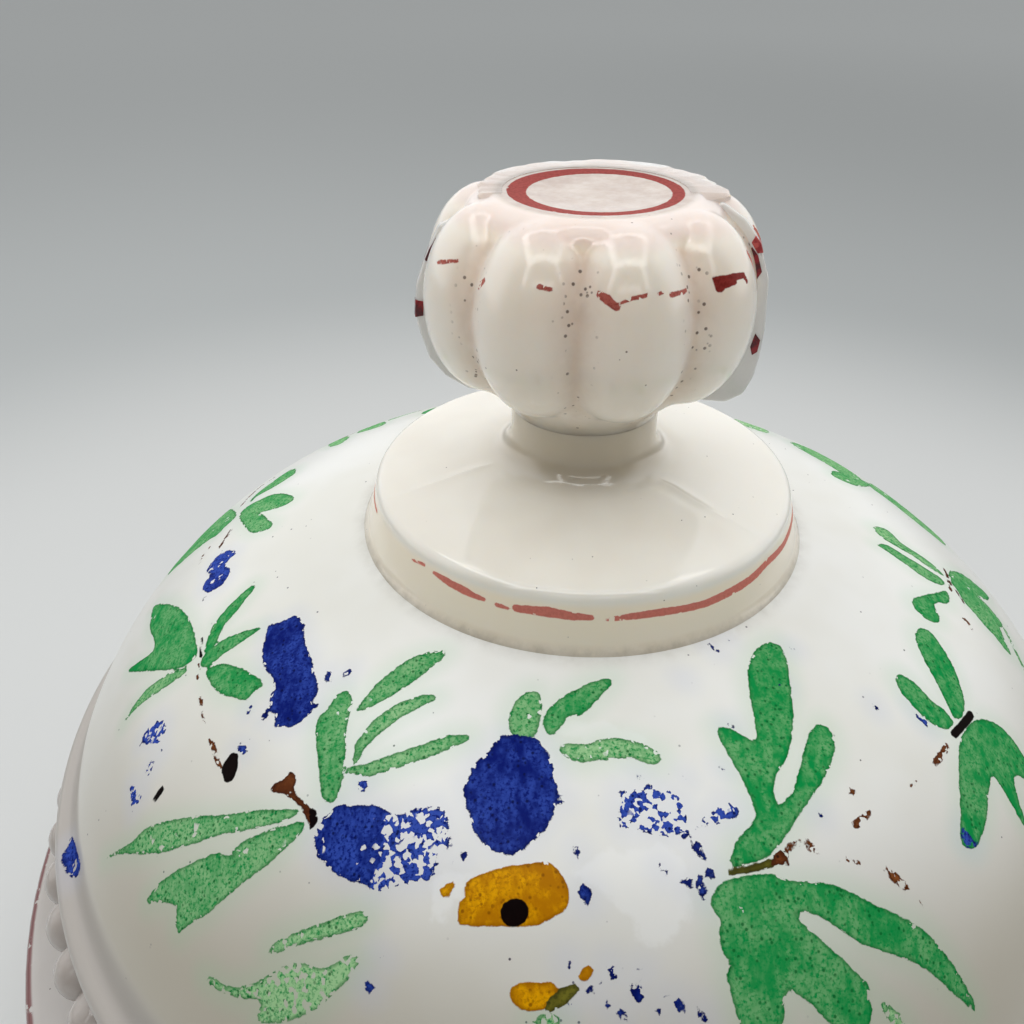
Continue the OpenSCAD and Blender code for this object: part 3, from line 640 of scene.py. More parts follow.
def fin(name, outline, turn_deg, thick=FIN_T, rounded=FIN_ROUND):
    """A slip of glass that stands in the plane through the axis."""
    bpy.ops.object.select_all(action="DESELECT")
    bpy.ops.mesh.primitive_plane_add(size=MM)
    piece = bpy.context.object
    piece.name = piece.data.name = name
    bpy.ops.object.mode_set(mode="EDIT")
    bpy.ops.mesh.select_all(action="SELECT")
    bpy.ops.mesh.merge(type="CENTER")
    half = thick / 2
    bpy.ops.transform.translate(value=(outline[0][0] * MM, -half * MM, outline[0][1] * MM))
    for before, after in zip(outline, outline[1:]):
        reach = ((after[0] - before[0]) * MM, 0, (after[1] - before[1]) * MM)
        bpy.ops.mesh.extrude_vertices_move(TRANSFORM_OT_translate={"value": reach})
    bpy.ops.mesh.select_all(action="SELECT")
    bpy.ops.mesh.edge_face_add()
    bpy.ops.mesh.extrude_region_move(TRANSFORM_OT_translate={"value": (0, thick * MM, 0)})
    bpy.ops.mesh.select_all(action="SELECT")
    bpy.ops.mesh.normals_make_consistent(inside=False)
    bpy.ops.mesh.bevel(offset=rounded * MM, segments=3, affect="EDGES")
    turn = math.radians(turn_deg - 90)
    bpy.ops.mesh.select_all(action="SELECT")
    bpy.ops.transform.rotate(value=-turn, orient_axis="Z", center_override=(0, 0, 0))
    bpy.ops.object.mode_set(mode="OBJECT")
    bpy.ops.object.shade_smooth_by_angle(angle=math.radians(40))
    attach(piece, "lid")
    tell(piece)
    return piece


left_fin = fin("left_fin", LEFT_FIN, LEFT_FIN_DEG)
right_fin = fin("right_fin", RIGHT_FIN, RIGHT_FIN_DEG)

# %% [markdown]
# The painter's red band ran across the fins too, and there it is still thick. Each rest of it is a
# film that wraps the fin's edge: the same kind of slip, a little thicker than the fin below it.

# %% Red on the fins
FILM_T, FILM_ROUND = FIN_T + 0.16, 0.06
LEFT_UPPER = [(15.9, 134.1), (16.6, 133), (17.05, 132), (16.5, 131.6), (15.8, 132.5), (15.2, 133.7)]
LEFT_LOWER = [(18.2, 128), (18.35, 126.2), (17.5, 126.3), (17.4, 127.8)]
RIGHT_UPPER = [(15.8, 134.5), (16.4, 133.8), (16.75, 132.9), (16.2, 132.8), (15.5, 133.8)]
RIGHT_MIDDLE = [(15.6, 133.4), (16.3, 132.6), (16.9, 131), (16.5, 130.2), (15.9, 131.4), (15.3, 132.8)]
RIGHT_LOWER = [(17.2, 124.6), (17.8, 123.9), (17.7, 122.6), (17.2, 122.2), (16.9, 123.1)]
dark_films = [
    fin("left_red_upper", LEFT_UPPER, LEFT_FIN_DEG, FILM_T, FILM_ROUND),
    fin("left_red_lower", LEFT_LOWER, LEFT_FIN_DEG, FILM_T, FILM_ROUND),
    fin("right_red_middle", RIGHT_MIDDLE, RIGHT_FIN_DEG, FILM_T, FILM_ROUND),
    fin("right_red_lower", RIGHT_LOWER, RIGHT_FIN_DEG, FILM_T, FILM_ROUND),
]
pale_film = fin("right_red_upper", RIGHT_UPPER, RIGHT_FIN_DEG, FILM_T, FILM_ROUND)

# %% [markdown]
# Round the knob's flat top the glass was squeezed out into a thin lip. It is turned as a flat ring,
# and its outer points are then pulled in and out by a few waves, so that its edge is ragged. At the
# front it has broken away, so there the ring shrinks until it lies inside the knob.

# %% Lip round the top
TOP_LIP_IN_R, TOP_LIP_R, TOP_LIP_T = 9.8, 12.25, 0.8
TOP_LIP_OPEN_DEG, TOP_LIP_FADE_DEG = 62, 22
TOP_LIP_STEPS = 360
LIP_WAVES = ((0.22, 5, 40), (0.16, 13, 0), (0.1, 31, 70))

lip_over, lip_under = KNOB_TOP - 0.02, KNOB_TOP - TOP_LIP_T
lip_profile = [(TOP_LIP_IN_R, lip_over), (TOP_LIP_R - 0.3, lip_over), (TOP_LIP_R, KNOB_TOP - 0.2)]
lip_profile += [(TOP_LIP_R, lip_under + 0.2), (TOP_LIP_R - 0.4, lip_under), (TOP_LIP_IN_R, lip_under)]
lip_profile += [lip_profile[0]]
lip = turned("top_lip", lip_profile, TOP_LIP_STEPS, 50)
lip_points = places(lip)
around = bearing(lip_points)
ragged = sum(high * np.sin(np.radians(count * around + start)) for high, count, start in LIP_WAVES)
left_over = np.clip((np.abs(around) - TOP_LIP_OPEN_DEG) / TOP_LIP_FADE_DEG, 0, 1)
lip_out = np.hypot(lip_points[:, 0], lip_points[:, 1])
reach = np.clip((lip_out - TOP_LIP_IN_R) / (TOP_LIP_R - TOP_LIP_IN_R), 0, 1)
lopsided = 0.55 * np.sin(np.radians(around)) + 0.7 * np.clip(-np.cos(np.radians(around)), 0, 1)
width = TOP_LIP_R - TOP_LIP_IN_R + 0.6 + lopsided + ragged
new_out = TOP_LIP_IN_R - 0.6 + reach * left_over * width
lip_points[:, :2] *= (new_out / lip_out)[:, None]
lip_points[:, 2] -= 0.3 * (1 - left_over) + 0.15 * reach * np.abs(ragged)
lip.data.vertices.foreach_set("co", (lip_points * MM).ravel())
lip.data.update()
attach(lip, "lid")
tell(lip)

# %% [markdown]
# ## Red on the finial
# The red was thin and soft-fired, so little is left of it: a ring on the knob's flat top, dabs
# round its waist, and a broken line just under the collar's edge. The strokes are kept as distances
# in the same way as the sprays, but here a place is degrees round from the front and height.

# %% Red marks
COLLAR_LINE = [
    [(-49.9, 104.4, 0.16), (-45.4, 104.8, 0.19)],
    [(-41.4, 104.6, 0.19), (-38.3, 104.5, 0.37), (-32.7, 104.3, 0.43), (-27, 104.1, 0.21)],
    [(-23.4, 104, 0.21), (-20.5, 103.9, 0.18)],
    [(-18.1, 104.1, 0.36), (-11.1, 104.3, 0.54), (-5.4, 104.1, 0.42), (-1.6, 104, 0.27)],
    [(2.9, 103.9, 0.18), (3.3, 103.8, 0.18)],
    [(4.7, 103.8, 0.18), (10.7, 104, 0.36), (17.5, 104, 0.4), (27.3, 103.7, 0.4), (33.8, 103.8, 0.44),
        (41.6, 103.9, 0.45), (48.9, 104.3, 0.4), (57.6, 104, 0.38), (75, 104.1, 0.4), (118, 104.2, 0.35)],
    [(126, 104.2, 0.2), (150, 104.3, 0.4), (182, 104.2, 0.42), (200, 104.2, 0.2)],
    [(212, 104.2, 0.3), (240, 104.3, 0.36)],
    [(250, 104.2, 0.15), (268, 104.3, 0.3), (285, 104.4, 0.2)],
]
KNOB_DABS = [
    [(-80, 133.9, 0.35), (-82, 132.4, 0.4)],
    [(-86, 128.8, 0.4), (-86, 127.2, 0.38)],
    [(-64, 133.1, 0.2), (-57, 133.7, 0.18)],
    [(-41.9, 133, 0.25), (-44.4, 132.2, 0.3)],
    [(-20.8, 133.6, 0.22), (-17.7, 133.4, 0.19)],
    [(-1.7, 133.1, 0.34), (0.4, 132.8, 0.43), (2.8, 132.3, 0.3)],
    [(4.4, 132.7, 0.12), (7.6, 133.1, 0.16), (10.5, 133.2, 0.19), (12.7, 133.4, 0.1)],
    [(15.5, 133.3, 0.16), (16.5, 133.3, 0.14)],
    [(19.8, 133, 0.19), (26.7, 132.8, 0.22)],
    [(39.2, 133.1, 0.36), (39.6, 132.5, 0.4)],
    [(39.5, 133.2, 0.3), (45, 133.25, 0.3), (49.5, 133.1, 0.26)],
    [(41.2, 132.75, 0.34), (45, 132.85, 0.3)],
    [(50.2, 132.9, 0.2), (50.8, 132.5, 0.2)],
    [(58, 134.4, 0.3), (60, 133.2, 0.36), (64, 131.8, 0.42)],
    [(84, 134.6, 0.34), (86, 133.4, 0.4)],
    [(76, 126.6, 0.34), (79, 125.2, 0.44)],
    [(118, 133, 0.3), (126, 133.2, 0.4), (131, 132.8, 0.25)],
    [(152, 132.8, 0.2), (158, 133, 0.26)],
    [(183, 133.3, 0.34), (190, 132.9, 0.5), (195, 133.1, 0.3)],
    [(226, 132.8, 0.22), (233, 133.2, 0.3)],
    [(252, 133.1, 0.3), (256, 132.4, 0.36)],
]
RING_R, RING_IN_R, RING_IN_OFF = 8.7, 7.1, (0.35, -0.1)


def mark_distance(points, marks):
    """Signed distance in mm to the nearest of some strokes on an upright round surface."""
    best = np.full(len(points), NO_PAINT)
    around, out = bearing(points), np.hypot(points[:, 0], points[:, 1])
    for mark in marks:
        mark = np.array(mark, float)
        off = (around - mark[:, 0].mean() + 180) % 360 - 180
        spots = np.stack([np.radians(off) * out, points[:, 2]], 1)
        reach = np.radians(mark[:, 0] - mark[:, 0].mean())
        near = np.abs(spots[:, 1] - mark[:, 1].mean()) < NO_PAINT
        line = np.stack([reach * out[near].max(), mark[:, 1]], 1)
        best[near] = np.minimum(best[near], stroke_distance(spots[near], line, mark[:, 2]))
    return best


# %% Lay the red
stem_points = places(stem)
stem_out = np.hypot(stem_points[:, 0], stem_points[:, 1])
on_side = (stem_points[:, 2] > 101) & (stem_points[:, 2] < 106) & (stem_out > 23.4)
keep_values(stem, "red", np.where(on_side, mark_distance(stem_points, COLLAR_LINE), NO_PAINT))
keep_values(stem, "red_wear", np.full(len(stem_points), 0.1))

knob_points = places(knob)
knob_out = np.hypot(knob_points[:, 0], knob_points[:, 1])
dabs = np.where(knob_out > 12, mark_distance(knob_points, KNOB_DABS), NO_PAINT)
ring_in = RING_IN_R - np.hypot(knob_points[:, 0] - RING_IN_OFF[0], knob_points[:, 1] - RING_IN_OFF[1])
ring = np.where(knob_points[:, 2] > KNOB_TOP - 1.2, np.maximum(knob_out - RING_R, ring_in), NO_PAINT)
keep_values(knob, "red", np.clip(np.minimum(dabs, ring), -NO_PAINT, NO_PAINT))
dab_wear = np.where(np.abs(bearing(knob_points) - 44) < 9, 0.05, 0.24)
keep_values(knob, "red_wear", np.where(ring < 1.5, 0.06, dab_wear))
half_lobe = 180 / LOBES
lobe_off = (bearing(knob_points) - LOBE_TURN_DEG + half_lobe) % (2 * half_lobe) - half_lobe
below_top = np.clip((KNOB_TOP - 0.8 - knob_points[:, 2]) / 2, 0, 1)
keep_values(knob, "valley", np.abs(lobe_off) / half_lobe * below_top)
print("red points", int((dabs < 0).sum()), int((ring < 0).sum()))

# %% [markdown]
# ## Small tools for the finishes
# The finishes are built from nodes alone. These few helpers place a node, wire its inputs and hand
# back its output, so that a finish below reads almost like a formula.

# %% Node helpers
def srgb(red, green, blue):
    """A colour as the eye sees it, 0 to 255, in the linear numbers that a shader takes."""
    parts = [v / 255 for v in (red, green, blue)]
    linear = [v / 12.92 if v <= 0.04045 else ((v + 0.055) / 1.055) ** 2.4 for v in parts]
    return (*linear, 1)


def wire(tree, value, socket):
    """Links an output to a socket, or writes a plain value on it."""
    if isinstance(value, bpy.types.NodeSocket):
        tree.links.new(value, socket)
    else:
        socket.default_value = value


def calc(tree, operation, *values):
    """One step of arithmetic."""
    node = tree.nodes.new("ShaderNodeMath")
    node.operation = operation
    for value, socket in zip(values, node.inputs):
        wire(tree, value, socket)
    return node.outputs[0]


def times(tree, value, by):
    return calc(tree, "MULTIPLY", value, by)


def times_plus(tree, value, by, added):
    return calc(tree, "MULTIPLY_ADD", value, by, added)


def ease(tree, value, start, end):
    """0 at start, 1 at end and smooth between; start may be the larger."""
    node = tree.nodes.new("ShaderNodeMapRange")
    node.interpolation_type = "SMOOTHSTEP"
    for item, socket in zip((value, start, end), node.inputs):
        wire(tree, item, socket)
    return node.outputs[0]


def blend(tree, share, under, over):
    """One colour laid over another."""
    node = tree.nodes.new("ShaderNodeMix")
    node.data_type = "RGBA"
    wire(tree, share, node.inputs[0])
    wire(tree, under, node.inputs[6])
    wire(tree, over, node.inputs[7])
    return node.outputs[2]


def place_on(tree):
    """The place on the piece, in its own coordinates."""
    return tree.nodes.new("ShaderNodeTexCoord").outputs["Object"]


def round_place(tree):
    """Distance from the axis and height, both in mm."""
    spot = tree.nodes.new("ShaderNodeSeparateXYZ")
    wire(tree, place_on(tree), spot.inputs[0])
    across = times(tree, spot.outputs["X"], spot.outputs["X"])
    out = calc(tree, "SQRT", times_plus(tree, spot.outputs["Y"], spot.outputs["Y"], across))
    return times(tree, out, 1 / MM), times(tree, spot.outputs["Z"], 1 / MM)


def cloud(tree, where, size_mm, detail=2.0, rough=0.5):
    """Noise with lumps of about this size."""
    node = tree.nodes.new("ShaderNodeTexNoise")
    wire(tree, where, node.inputs["Vector"])
    node.inputs["Scale"].default_value = 1000 / size_mm
    node.inputs["Detail"].default_value = detail
    node.inputs["Roughness"].default_value = rough
    return node.outputs[0]


def kept(tree, name):
    """A number that was stored on the piece's points."""
    node = tree.nodes.new("ShaderNodeAttribute")
    node.attribute_name = name
    return node.outputs["Fac"]


# %% Group and finish helpers
def new_group(name, inputs, outputs):
    """An empty node group with its sockets. Gives also what goes in and what comes out."""
    group = bpy.data.node_groups.new(name, "ShaderNodeTree")
    for label in inputs:
        group.interface.new_socket(label, in_out="INPUT", socket_type="NodeSocketFloat")
    for label in outputs:
        group.interface.new_socket(label, in_out="OUTPUT", socket_type="NodeSocketFloat")
    return group, group.nodes.new("NodeGroupInput").outputs, group.nodes.new("NodeGroupOutput").inputs


def use(tree, group, **values):
    """Places a group in a finish with values of its own."""
    node = tree.nodes.new("ShaderNodeGroup")
    node.node_tree = group
    for label, value in values.items():
        wire(tree, value, node.inputs[label])
    return node.outputs


def new_finish(name, **constants):
    """A material with one principled shader, whose even values are set on its own sockets."""
    material = bpy.data.materials.new(name)
    material.use_nodes = True
    shader = material.node_tree.nodes["Principled BSDF"]
    for label, value in constants.items():
        shader.inputs[label.replace("_", " ")].default_value = value
    return material, material.node_tree, shader.inputs


def raise_surface(tree, height_mm, surface):
    """Turns a height in mm into the slopes that the light sees."""
    bump = tree.nodes.new("ShaderNodeBump")
    bump.inputs["Strength"].default_value = 1
    bump.inputs["Distance"].default_value = MM
    wire(tree, height_mm, bump.inputs["Height"])
    wire(tree, bump.outputs[0], surface["Normal"])


def put_on(piece, finish):
    """Gives a piece its finish."""
    piece.data.materials.append(finish)
    print(piece.name, "wears", finish.name, "of", len(finish.node_tree.nodes), "nodes")


# %% [markdown]
# ## Worn enamel
# All the paint on the box ages in the same way, so it is one group. It takes the distance to a
# stroke's edge, its wear and how ragged its edge is. The film is divided into small cells with bent
# borders, and a cell drops out where its own chance, with the lumps of a broad noise, falls below
# the wear. That gives the angular flakes of real enamel. More of them go near the edge, and what
# stays is darkest there, where the wet colour pooled.

# %% Cells and bent places
BEND_LUMP_MM = 0.5


def cells(tree, where, size_mm):
    """A pattern of cells of about this size."""
    node = tree.nodes.new("ShaderNodeTexVoronoi")
    wire(tree, where, node.inputs["Vector"])
    node.inputs["Scale"].default_value = 1000 / size_mm
    return node.outputs


def bent_place(tree, scale, bend_mm):
    """The place on the piece, scaled along each axis and bent by noise."""
    stretch = tree.nodes.new("ShaderNodeVectorMath")
    stretch.operation = "MULTIPLY"
    wire(tree, place_on(tree), stretch.inputs[0])
    stretch.inputs[1].default_value = scale
    noise = tree.nodes.new("ShaderNodeTexNoise")
    wire(tree, place_on(tree), noise.inputs["Vector"])
    noise.inputs["Scale"].default_value = 1000 / BEND_LUMP_MM
    bend = tree.nodes.new("ShaderNodeVectorMath")
    bend.operation = "MULTIPLY_ADD"
    wire(tree, noise.outputs["Color"], bend.inputs[0])
    bend.inputs[1].default_value = (bend_mm * MM, bend_mm * MM, bend_mm * MM)
    wire(tree, stretch.outputs[0], bend.inputs[2])
    return bend.outputs[0]


# %% Worn enamel group
FLAKE_MM, LUMP_MM = 0.42, 3.5
enamel, given, asked = new_group(
    "worn_enamel", ("Distance", "Wear", "Fray"), ("Cover", "Pool", "Grain", "Tone", "Pits")
)
where = place_on(enamel)
fray = calc(enamel, "SUBTRACT", cloud(enamel, where, 0.8, 4, 0.65), 0.5)
edge = times_plus(enamel, fray, given["Fray"], given["Distance"])
chance = enamel.nodes.new("ShaderNodeSeparateColor")
wire(enamel, cells(enamel, bent_place(enamel, (1, 1, 0.75), 0.45), FLAKE_MM)["Color"], chance.inputs[0])
lumps = times(enamel, cloud(enamel, where, LUMP_MM, 2), 0.4)
hold = times_plus(enamel, chance.outputs[0], 0.6, lumps)
rim_loss = times(enamel, ease(enamel, edge, -0.4, 0.1), times(enamel, given["Fray"], 0.3))
lost = times_plus(enamel, given["Wear"], 0.75, calc(enamel, "ADD", rim_loss, 0.06))
stays = ease(enamel, hold, lost, calc(enamel, "ADD", lost, 0.02))
wire(enamel, times(enamel, ease(enamel, edge, 0.05, -0.06), stays), asked["Cover"])
wire(enamel, ease(enamel, edge, -0.4, -0.04), asked["Pool"])
wire(enamel, cloud(enamel, where, 0.3, 3, 0.6), asked["Grain"])
streaks = times(enamel, cloud(enamel, bent_place(enamel, (1, 0.6, 0.3), 0.2), 0.7, 2), 0.45)
tone = times_plus(enamel, cloud(enamel, where, 4, 3, 0.6), 0.55, streaks)
wire(enamel, ease(enamel, tone, 0.38, 0.62), asked["Tone"])
pit = ease(enamel, cells(enamel, where, 0.6)["Distance"], 0.34, 0.14)
chosen = ease(enamel, cloud(enamel, where, 1.1, 1), 0.42, 0.55)
wire(enamel, times(enamel, pit, chosen), asked["Pits"])
print(enamel.name, len(enamel.nodes), "nodes")

# %% [markdown]
# ## Old glass
# The glass has its own age: faint cream clouds, small dark specks from the melt and from use, and
# a skin that isn't quite even, because it was pressed and not ground. This is the second shared
# group.

# %% Old glass group
old_glass, given, asked = new_group("old_glass", ("Speck size",), ("Clouds", "Specks", "Waves"))
where = place_on(old_glass)
wire(old_glass, ease(old_glass, cloud(old_glass, where, 24, 3, 0.6), 0.35, 0.7), asked["Clouds"])
spot = ease(old_glass, cells(old_glass, where, 1.7)["Distance"], given["Speck size"], 0)
patchy = ease(old_glass, cloud(old_glass, where, 9, 2), 0.48, 0.62)
wire(old_glass, times(old_glass, ease(old_glass, spot, 0.1, 0.5), patchy), asked["Specks"])
ripple = times(old_glass, cloud(old_glass, where, 1.2, 2), 0.004)
wire(old_glass, times_plus(old_glass, cloud(old_glass, where, 14, 1), 0.1, ripple), asked["Waves"])
print(old_glass.name, len(old_glass.nodes), "nodes")

# %% [markdown]
# ## The dome's finish
# Opaline glass is white through and through and lets a little light in, so the shader scatters it
# under the surface. Low down, and most on the front, the dome is painted darker and browner as
# painted shade from the dark open front of the tent. The rim is drawn greyer than the dome. The six
# colours are laid over one another in the painter's order, each with a thin, a deep and a pooled
# tone. Round the strokes a painted halo of their colour stands for light scattered under the paint.

# %% Paints
OPAL = dict(Subsurface_Weight=0.1, Subsurface_Radius=(1.0, 0.9, 0.75), Subsurface_Scale=0.0015)
GLAZE = dict(Specular_IOR_Level=0.0, Coat_IOR=1.6, Coat_Roughness=0.1)
TONES = {
    "green": (srgb(160, 204, 150), srgb(4, 142, 68), srgb(0, 98, 42)),
    "blue": (srgb(50, 78, 174), srgb(0, 20, 106), srgb(0, 8, 62)),
    "ochre": (srgb(226, 164, 0), srgb(180, 116, 0), srgb(136, 82, 0)),
    "olive": (srgb(126, 122, 40), srgb(86, 82, 26), srgb(44, 46, 20)),
    "brown": (srgb(140, 80, 40), srgb(90, 45, 20), srgb(44, 16, 8)),
    "black": (srgb(26, 10, 10), srgb(10, 2, 2), srgb(6, 0, 0)),
}
FRAY = {"green": 0.5, "blue": 0.8, "ochre": 0.4, "olive": 0.4, "brown": 0.6, "black": 0.15}
LOSS = {"green": 0.65, "blue": 0.85, "ochre": 0.5, "olive": 0.5, "brown": 0.7, "black": 0.3}
MOTTLE = {"green": 0.4, "blue": 0.75, "ochre": 1.0, "olive": 0.5, "brown": 0.5, "black": 0.3}
SCATTER_HALO = {"green": srgb(150, 204, 160), "blue": srgb(190, 198, 224)}
print(len(TONES), "paints")

# %% Dome finish
FRONT_SHADE_TONE, RIM_GREY, GROOVE_SHADE = srgb(178, 170, 152), srgb(178, 172, 165), srgb(150, 144, 132)
WIPED_CLEAN, FOOT_DIRT_AND_SHADE = srgb(240, 241, 239), srgb(140, 131, 112)

dome_finish, tree, surface = new_finish("painted_opal_glass", **{**GLAZE, "Coat_Roughness": 0.3}, **OPAL)
age = use(tree, old_glass, **{"Speck size": 0.1})
drop_down = kept(tree, "drop")
colour = blend(tree, age["Clouds"], srgb(236, 237, 233), srgb(228, 228, 220))
spot = tree.nodes.new("ShaderNodeSeparateXYZ")
wire(tree, place_on(tree), spot.inputs[0])
# Painted shade: the dome gets darker and browner low down, most of all on the front.
to_front = ease(tree, spot.outputs["Y"], -0.005, -0.045)
front_shade = times(tree, ease(tree, drop_down, 14, 44), times_plus(tree, to_front, 0.66, 0.2))
colour = blend(tree, front_shade, colour, FRONT_SHADE_TONE)
# Greyer toward the rim.
colour = blend(tree, ease(tree, drop_down, 46, 50), colour, RIM_GREY)
# Painted shade along the soft groove above the rim.
groove_shade = times(tree, ease(tree, drop_down, 47, 49.2), ease(tree, drop_down, 51.6, 50))
colour = blend(tree, times(tree, groove_shade, 0.3), colour, GROOVE_SHADE)
soft_edge = times_plus(tree, cloud(tree, place_on(tree), 2.5, 4, 0.6), 3, kept(tree, "wiped"))
colour = blend(tree, times(tree, ease(tree, soft_edge, 1.9, 1.2), 0.45), colour, WIPED_CLEAN)
# Round the collar's foot the dome is darkened with noise: partly dirt, partly painted shade in the corner.
dust_and_shade = times_plus(tree, cloud(tree, place_on(tree), 1.6, 3, 0.6), 0.6, -0.1)
foot_dirt_and_shade = times(tree, ease(tree, drop_down, 2.4, 0), dust_and_shade)
colour = blend(tree, foot_dirt_and_shade, colour, FOOT_DIRT_AND_SHADE)
colour = blend(tree, age["Specks"], colour, srgb(66, 62, 72))
# Painted light: a faint halo of each colour round its strokes, for light scattered through the glass.
for pigment, scattered_tint in SCATTER_HALO.items():
    near = times(tree, ease(tree, kept(tree, pigment), 2.6, -0.2), 0.2)
    colour = blend(tree, near, colour, scattered_tint)

# %% Paint on the dome
covered = 0.0
for pigment in PIGMENTS:
    thin, deep, pooled = TONES[pigment]
    worn = kept(tree, pigment + "_wear")
    loss = times(tree, worn, LOSS[pigment])
    film = use(tree, enamel, Distance=kept(tree, pigment), Wear=loss, Fray=FRAY[pigment])
    mottle = times(tree, film["Tone"], MOTTLE[pigment])
    pale = times_plus(tree, ease(tree, worn, 0.1, 0.4), 0.9, mottle)
    pale = times(tree, pale, ease(tree, film["Grain"], 0.3, 0.58))
    tone = blend(tree, pale, deep, thin)
    tone = blend(tree, times(tree, film["Pool"], 0.6), tone, pooled)
    tone = blend(tree, times(tree, film["Pits"], 0.85), tone, pooled)
    colour = blend(tree, film["Cover"], colour, tone)
    covered = calc(tree, "MAXIMUM", covered, film["Cover"])
wire(tree, colour, surface["Base Color"])
wire(tree, times_plus(tree, covered, -0.93, 1), surface["Coat Weight"])
raise_surface(tree, times_plus(tree, covered, 0.03, age["Waves"]), surface)
put_on(dome, dome_finish)

# %% [markdown]
# ## The finial's finishes
# The collar and the knob are the same glass, but thicker and creamier than the dome. Light enters
# the knob and wanders about in it, so its scattering is deeper. The valleys between the lobes and
# the collar's foot are darkened, partly dirt and partly painted shade in these hollows. The neck and
# the knob's underside are painted darker as painted shade under the knob, and the collar's lower
# side warmer and lighter as painted light thrown up from the dome. What is left of the red lies over
# it all. The red uses the same worn enamel as the sprays.

# %% Red paint
RED_THIN, RED_DEEP, RED_POOL = srgb(226, 140, 124), srgb(128, 26, 24), srgb(88, 14, 16)


def red_over(tree, colour, deep_share, pool_share):
    """Lays what is left of the red over a colour. Gives the new colour and where the red is."""
    film = use(tree, enamel, Distance=kept(tree, "red"), Wear=kept(tree, "red_wear"), Fray=0.25)
    tone = blend(tree, deep_share, RED_THIN, RED_DEEP)
    pooled = times(tree, ease(tree, film["Grain"], 0.4, 0.65), pool_share)
    tone = blend(tree, pooled, tone, RED_POOL)
    return blend(tree, film["Cover"], colour, tone), film["Cover"]


# %% Collar finish
COLLAR_GLASS = {**OPAL, **GLAZE, "Subsurface_Weight": 0.5, "Subsurface_Scale": 0.003}
COLLAR_GLASS.update(Coat_Roughness=0.09, Coat_IOR=1.7)
stem_finish, tree, surface = new_finish("collar_opal_glass", **COLLAR_GLASS)
age = use(tree, old_glass, **{"Speck size": 0.07})
colour = blend(tree, age["Clouds"], srgb(245, 242, 232), srgb(236, 231, 219))
out, up = round_place(tree)
# Painted light: the collar's lower side is warmer and lighter, for light thrown up from the dome.
colour = blend(tree, times(tree, ease(tree, up, 105.6, 104.6), 0.9), colour, srgb(250, 236, 212))
# Painted shade on the neck under the knob's overhang.
neck = times(tree, ease(tree, out, 13, 9), ease(tree, up, 108, 111))
# Round the collar's foot: partly dirt, partly painted shade in the corner.
dust_and_shade = times_plus(tree, cloud(tree, place_on(tree), 1.6, 3, 0.6), 0.8, -0.1)
foot = times(tree, ease(tree, up, 101.4, 100.3), dust_and_shade)
colour = blend(tree, foot, colour, srgb(146, 136, 116))
colour = blend(tree, times(tree, neck, 0.8), colour, srgb(202, 188, 162))
colour = blend(tree, age["Specks"], colour, srgb(70, 62, 58))
colour, red_cover = red_over(tree, colour, 0.2, 0.12)
wire(tree, colour, surface["Base Color"])
wire(tree, times_plus(tree, red_cover, -0.85, 1), surface["Coat Weight"])
raise_surface(tree, age["Waves"], surface)
put_on(stem, stem_finish)

# %% Knob finish
KNOB_GLASS = {**OPAL, **GLAZE, "Subsurface_Weight": 0.9, "Subsurface_Scale": 0.006}
KNOB_GLASS.update(Coat_Roughness=0.16, Coat_IOR=1.8)
knob_finish, tree, surface = new_finish("knob_opal_glass", **KNOB_GLASS)
age = use(tree, old_glass, **{"Speck size": 0.095})
colour = blend(tree, age["Clouds"], srgb(249, 239, 226), srgb(243, 230, 215))
out, up = round_place(tree)
brow = times(tree, ease(tree, up, 135.8, 137), ease(tree, out, 9.4, 10.4))
colour = blend(tree, times(tree, brow, 0.6), colour, srgb(230, 206, 198))
# Painted shade: the knob's underside is darker, to meet the shaded neck.
colour = blend(tree, ease(tree, up, 119.5, 115), colour, srgb(214, 201, 178))
# In the valleys between the lobes: partly dirt, partly painted shade.
in_valley = ease(tree, kept(tree, "valley"), 0.45, 1)
valley_dirt_and_shade = times(tree, in_valley, cloud(tree, place_on(tree), 2.2, 3, 0.6))
colour = blend(tree, times(tree, valley_dirt_and_shade, 0.5), colour, srgb(188, 164, 140))
colour = blend(tree, times(tree, age["Specks"], 0.8), colour, srgb(92, 62, 46))
caught = ease(tree, cells(tree, place_on(tree), 0.8)["Distance"], 0.26, 0.14)
caught = times(tree, caught, ease(tree, cloud(tree, place_on(tree), 2.4, 1), 0.44, 0.52))
caught = times(tree, caught, ease(tree, kept(tree, "valley"), 0.6, 0.85))
colour = blend(tree, times(tree, caught, 0.8), colour, srgb(96, 72, 58))
on_top = times(tree, ease(tree, up, 136.6, 137.2), ease(tree, out, 10.4, 9.4))
stain = times_plus(tree, cloud(tree, place_on(tree), 3, 4, 0.65), 0.9, 0.4)
colour = blend(tree, times(tree, on_top, stain), colour, srgb(172, 150, 136))
deep_share = times_plus(tree, kept(tree, "red_wear"), -2, 1)
colour, red_cover = red_over(tree, colour, deep_share, 0.35)
wire(tree, colour, surface["Base Color"])
dull = calc(tree, "MAXIMUM", red_cover, in_valley)
wire(tree, times_plus(tree, dull, -0.85, 1), surface["Coat Weight"])
raise_surface(tree, age["Waves"], surface)
put_on(knob, knob_finish)

# %% [markdown]
# The flash is so thin that light goes through: the fins are milky and the lip is almost clear. The
# red that is left on the fins is thick, dark and streaked, except for one pale rest.

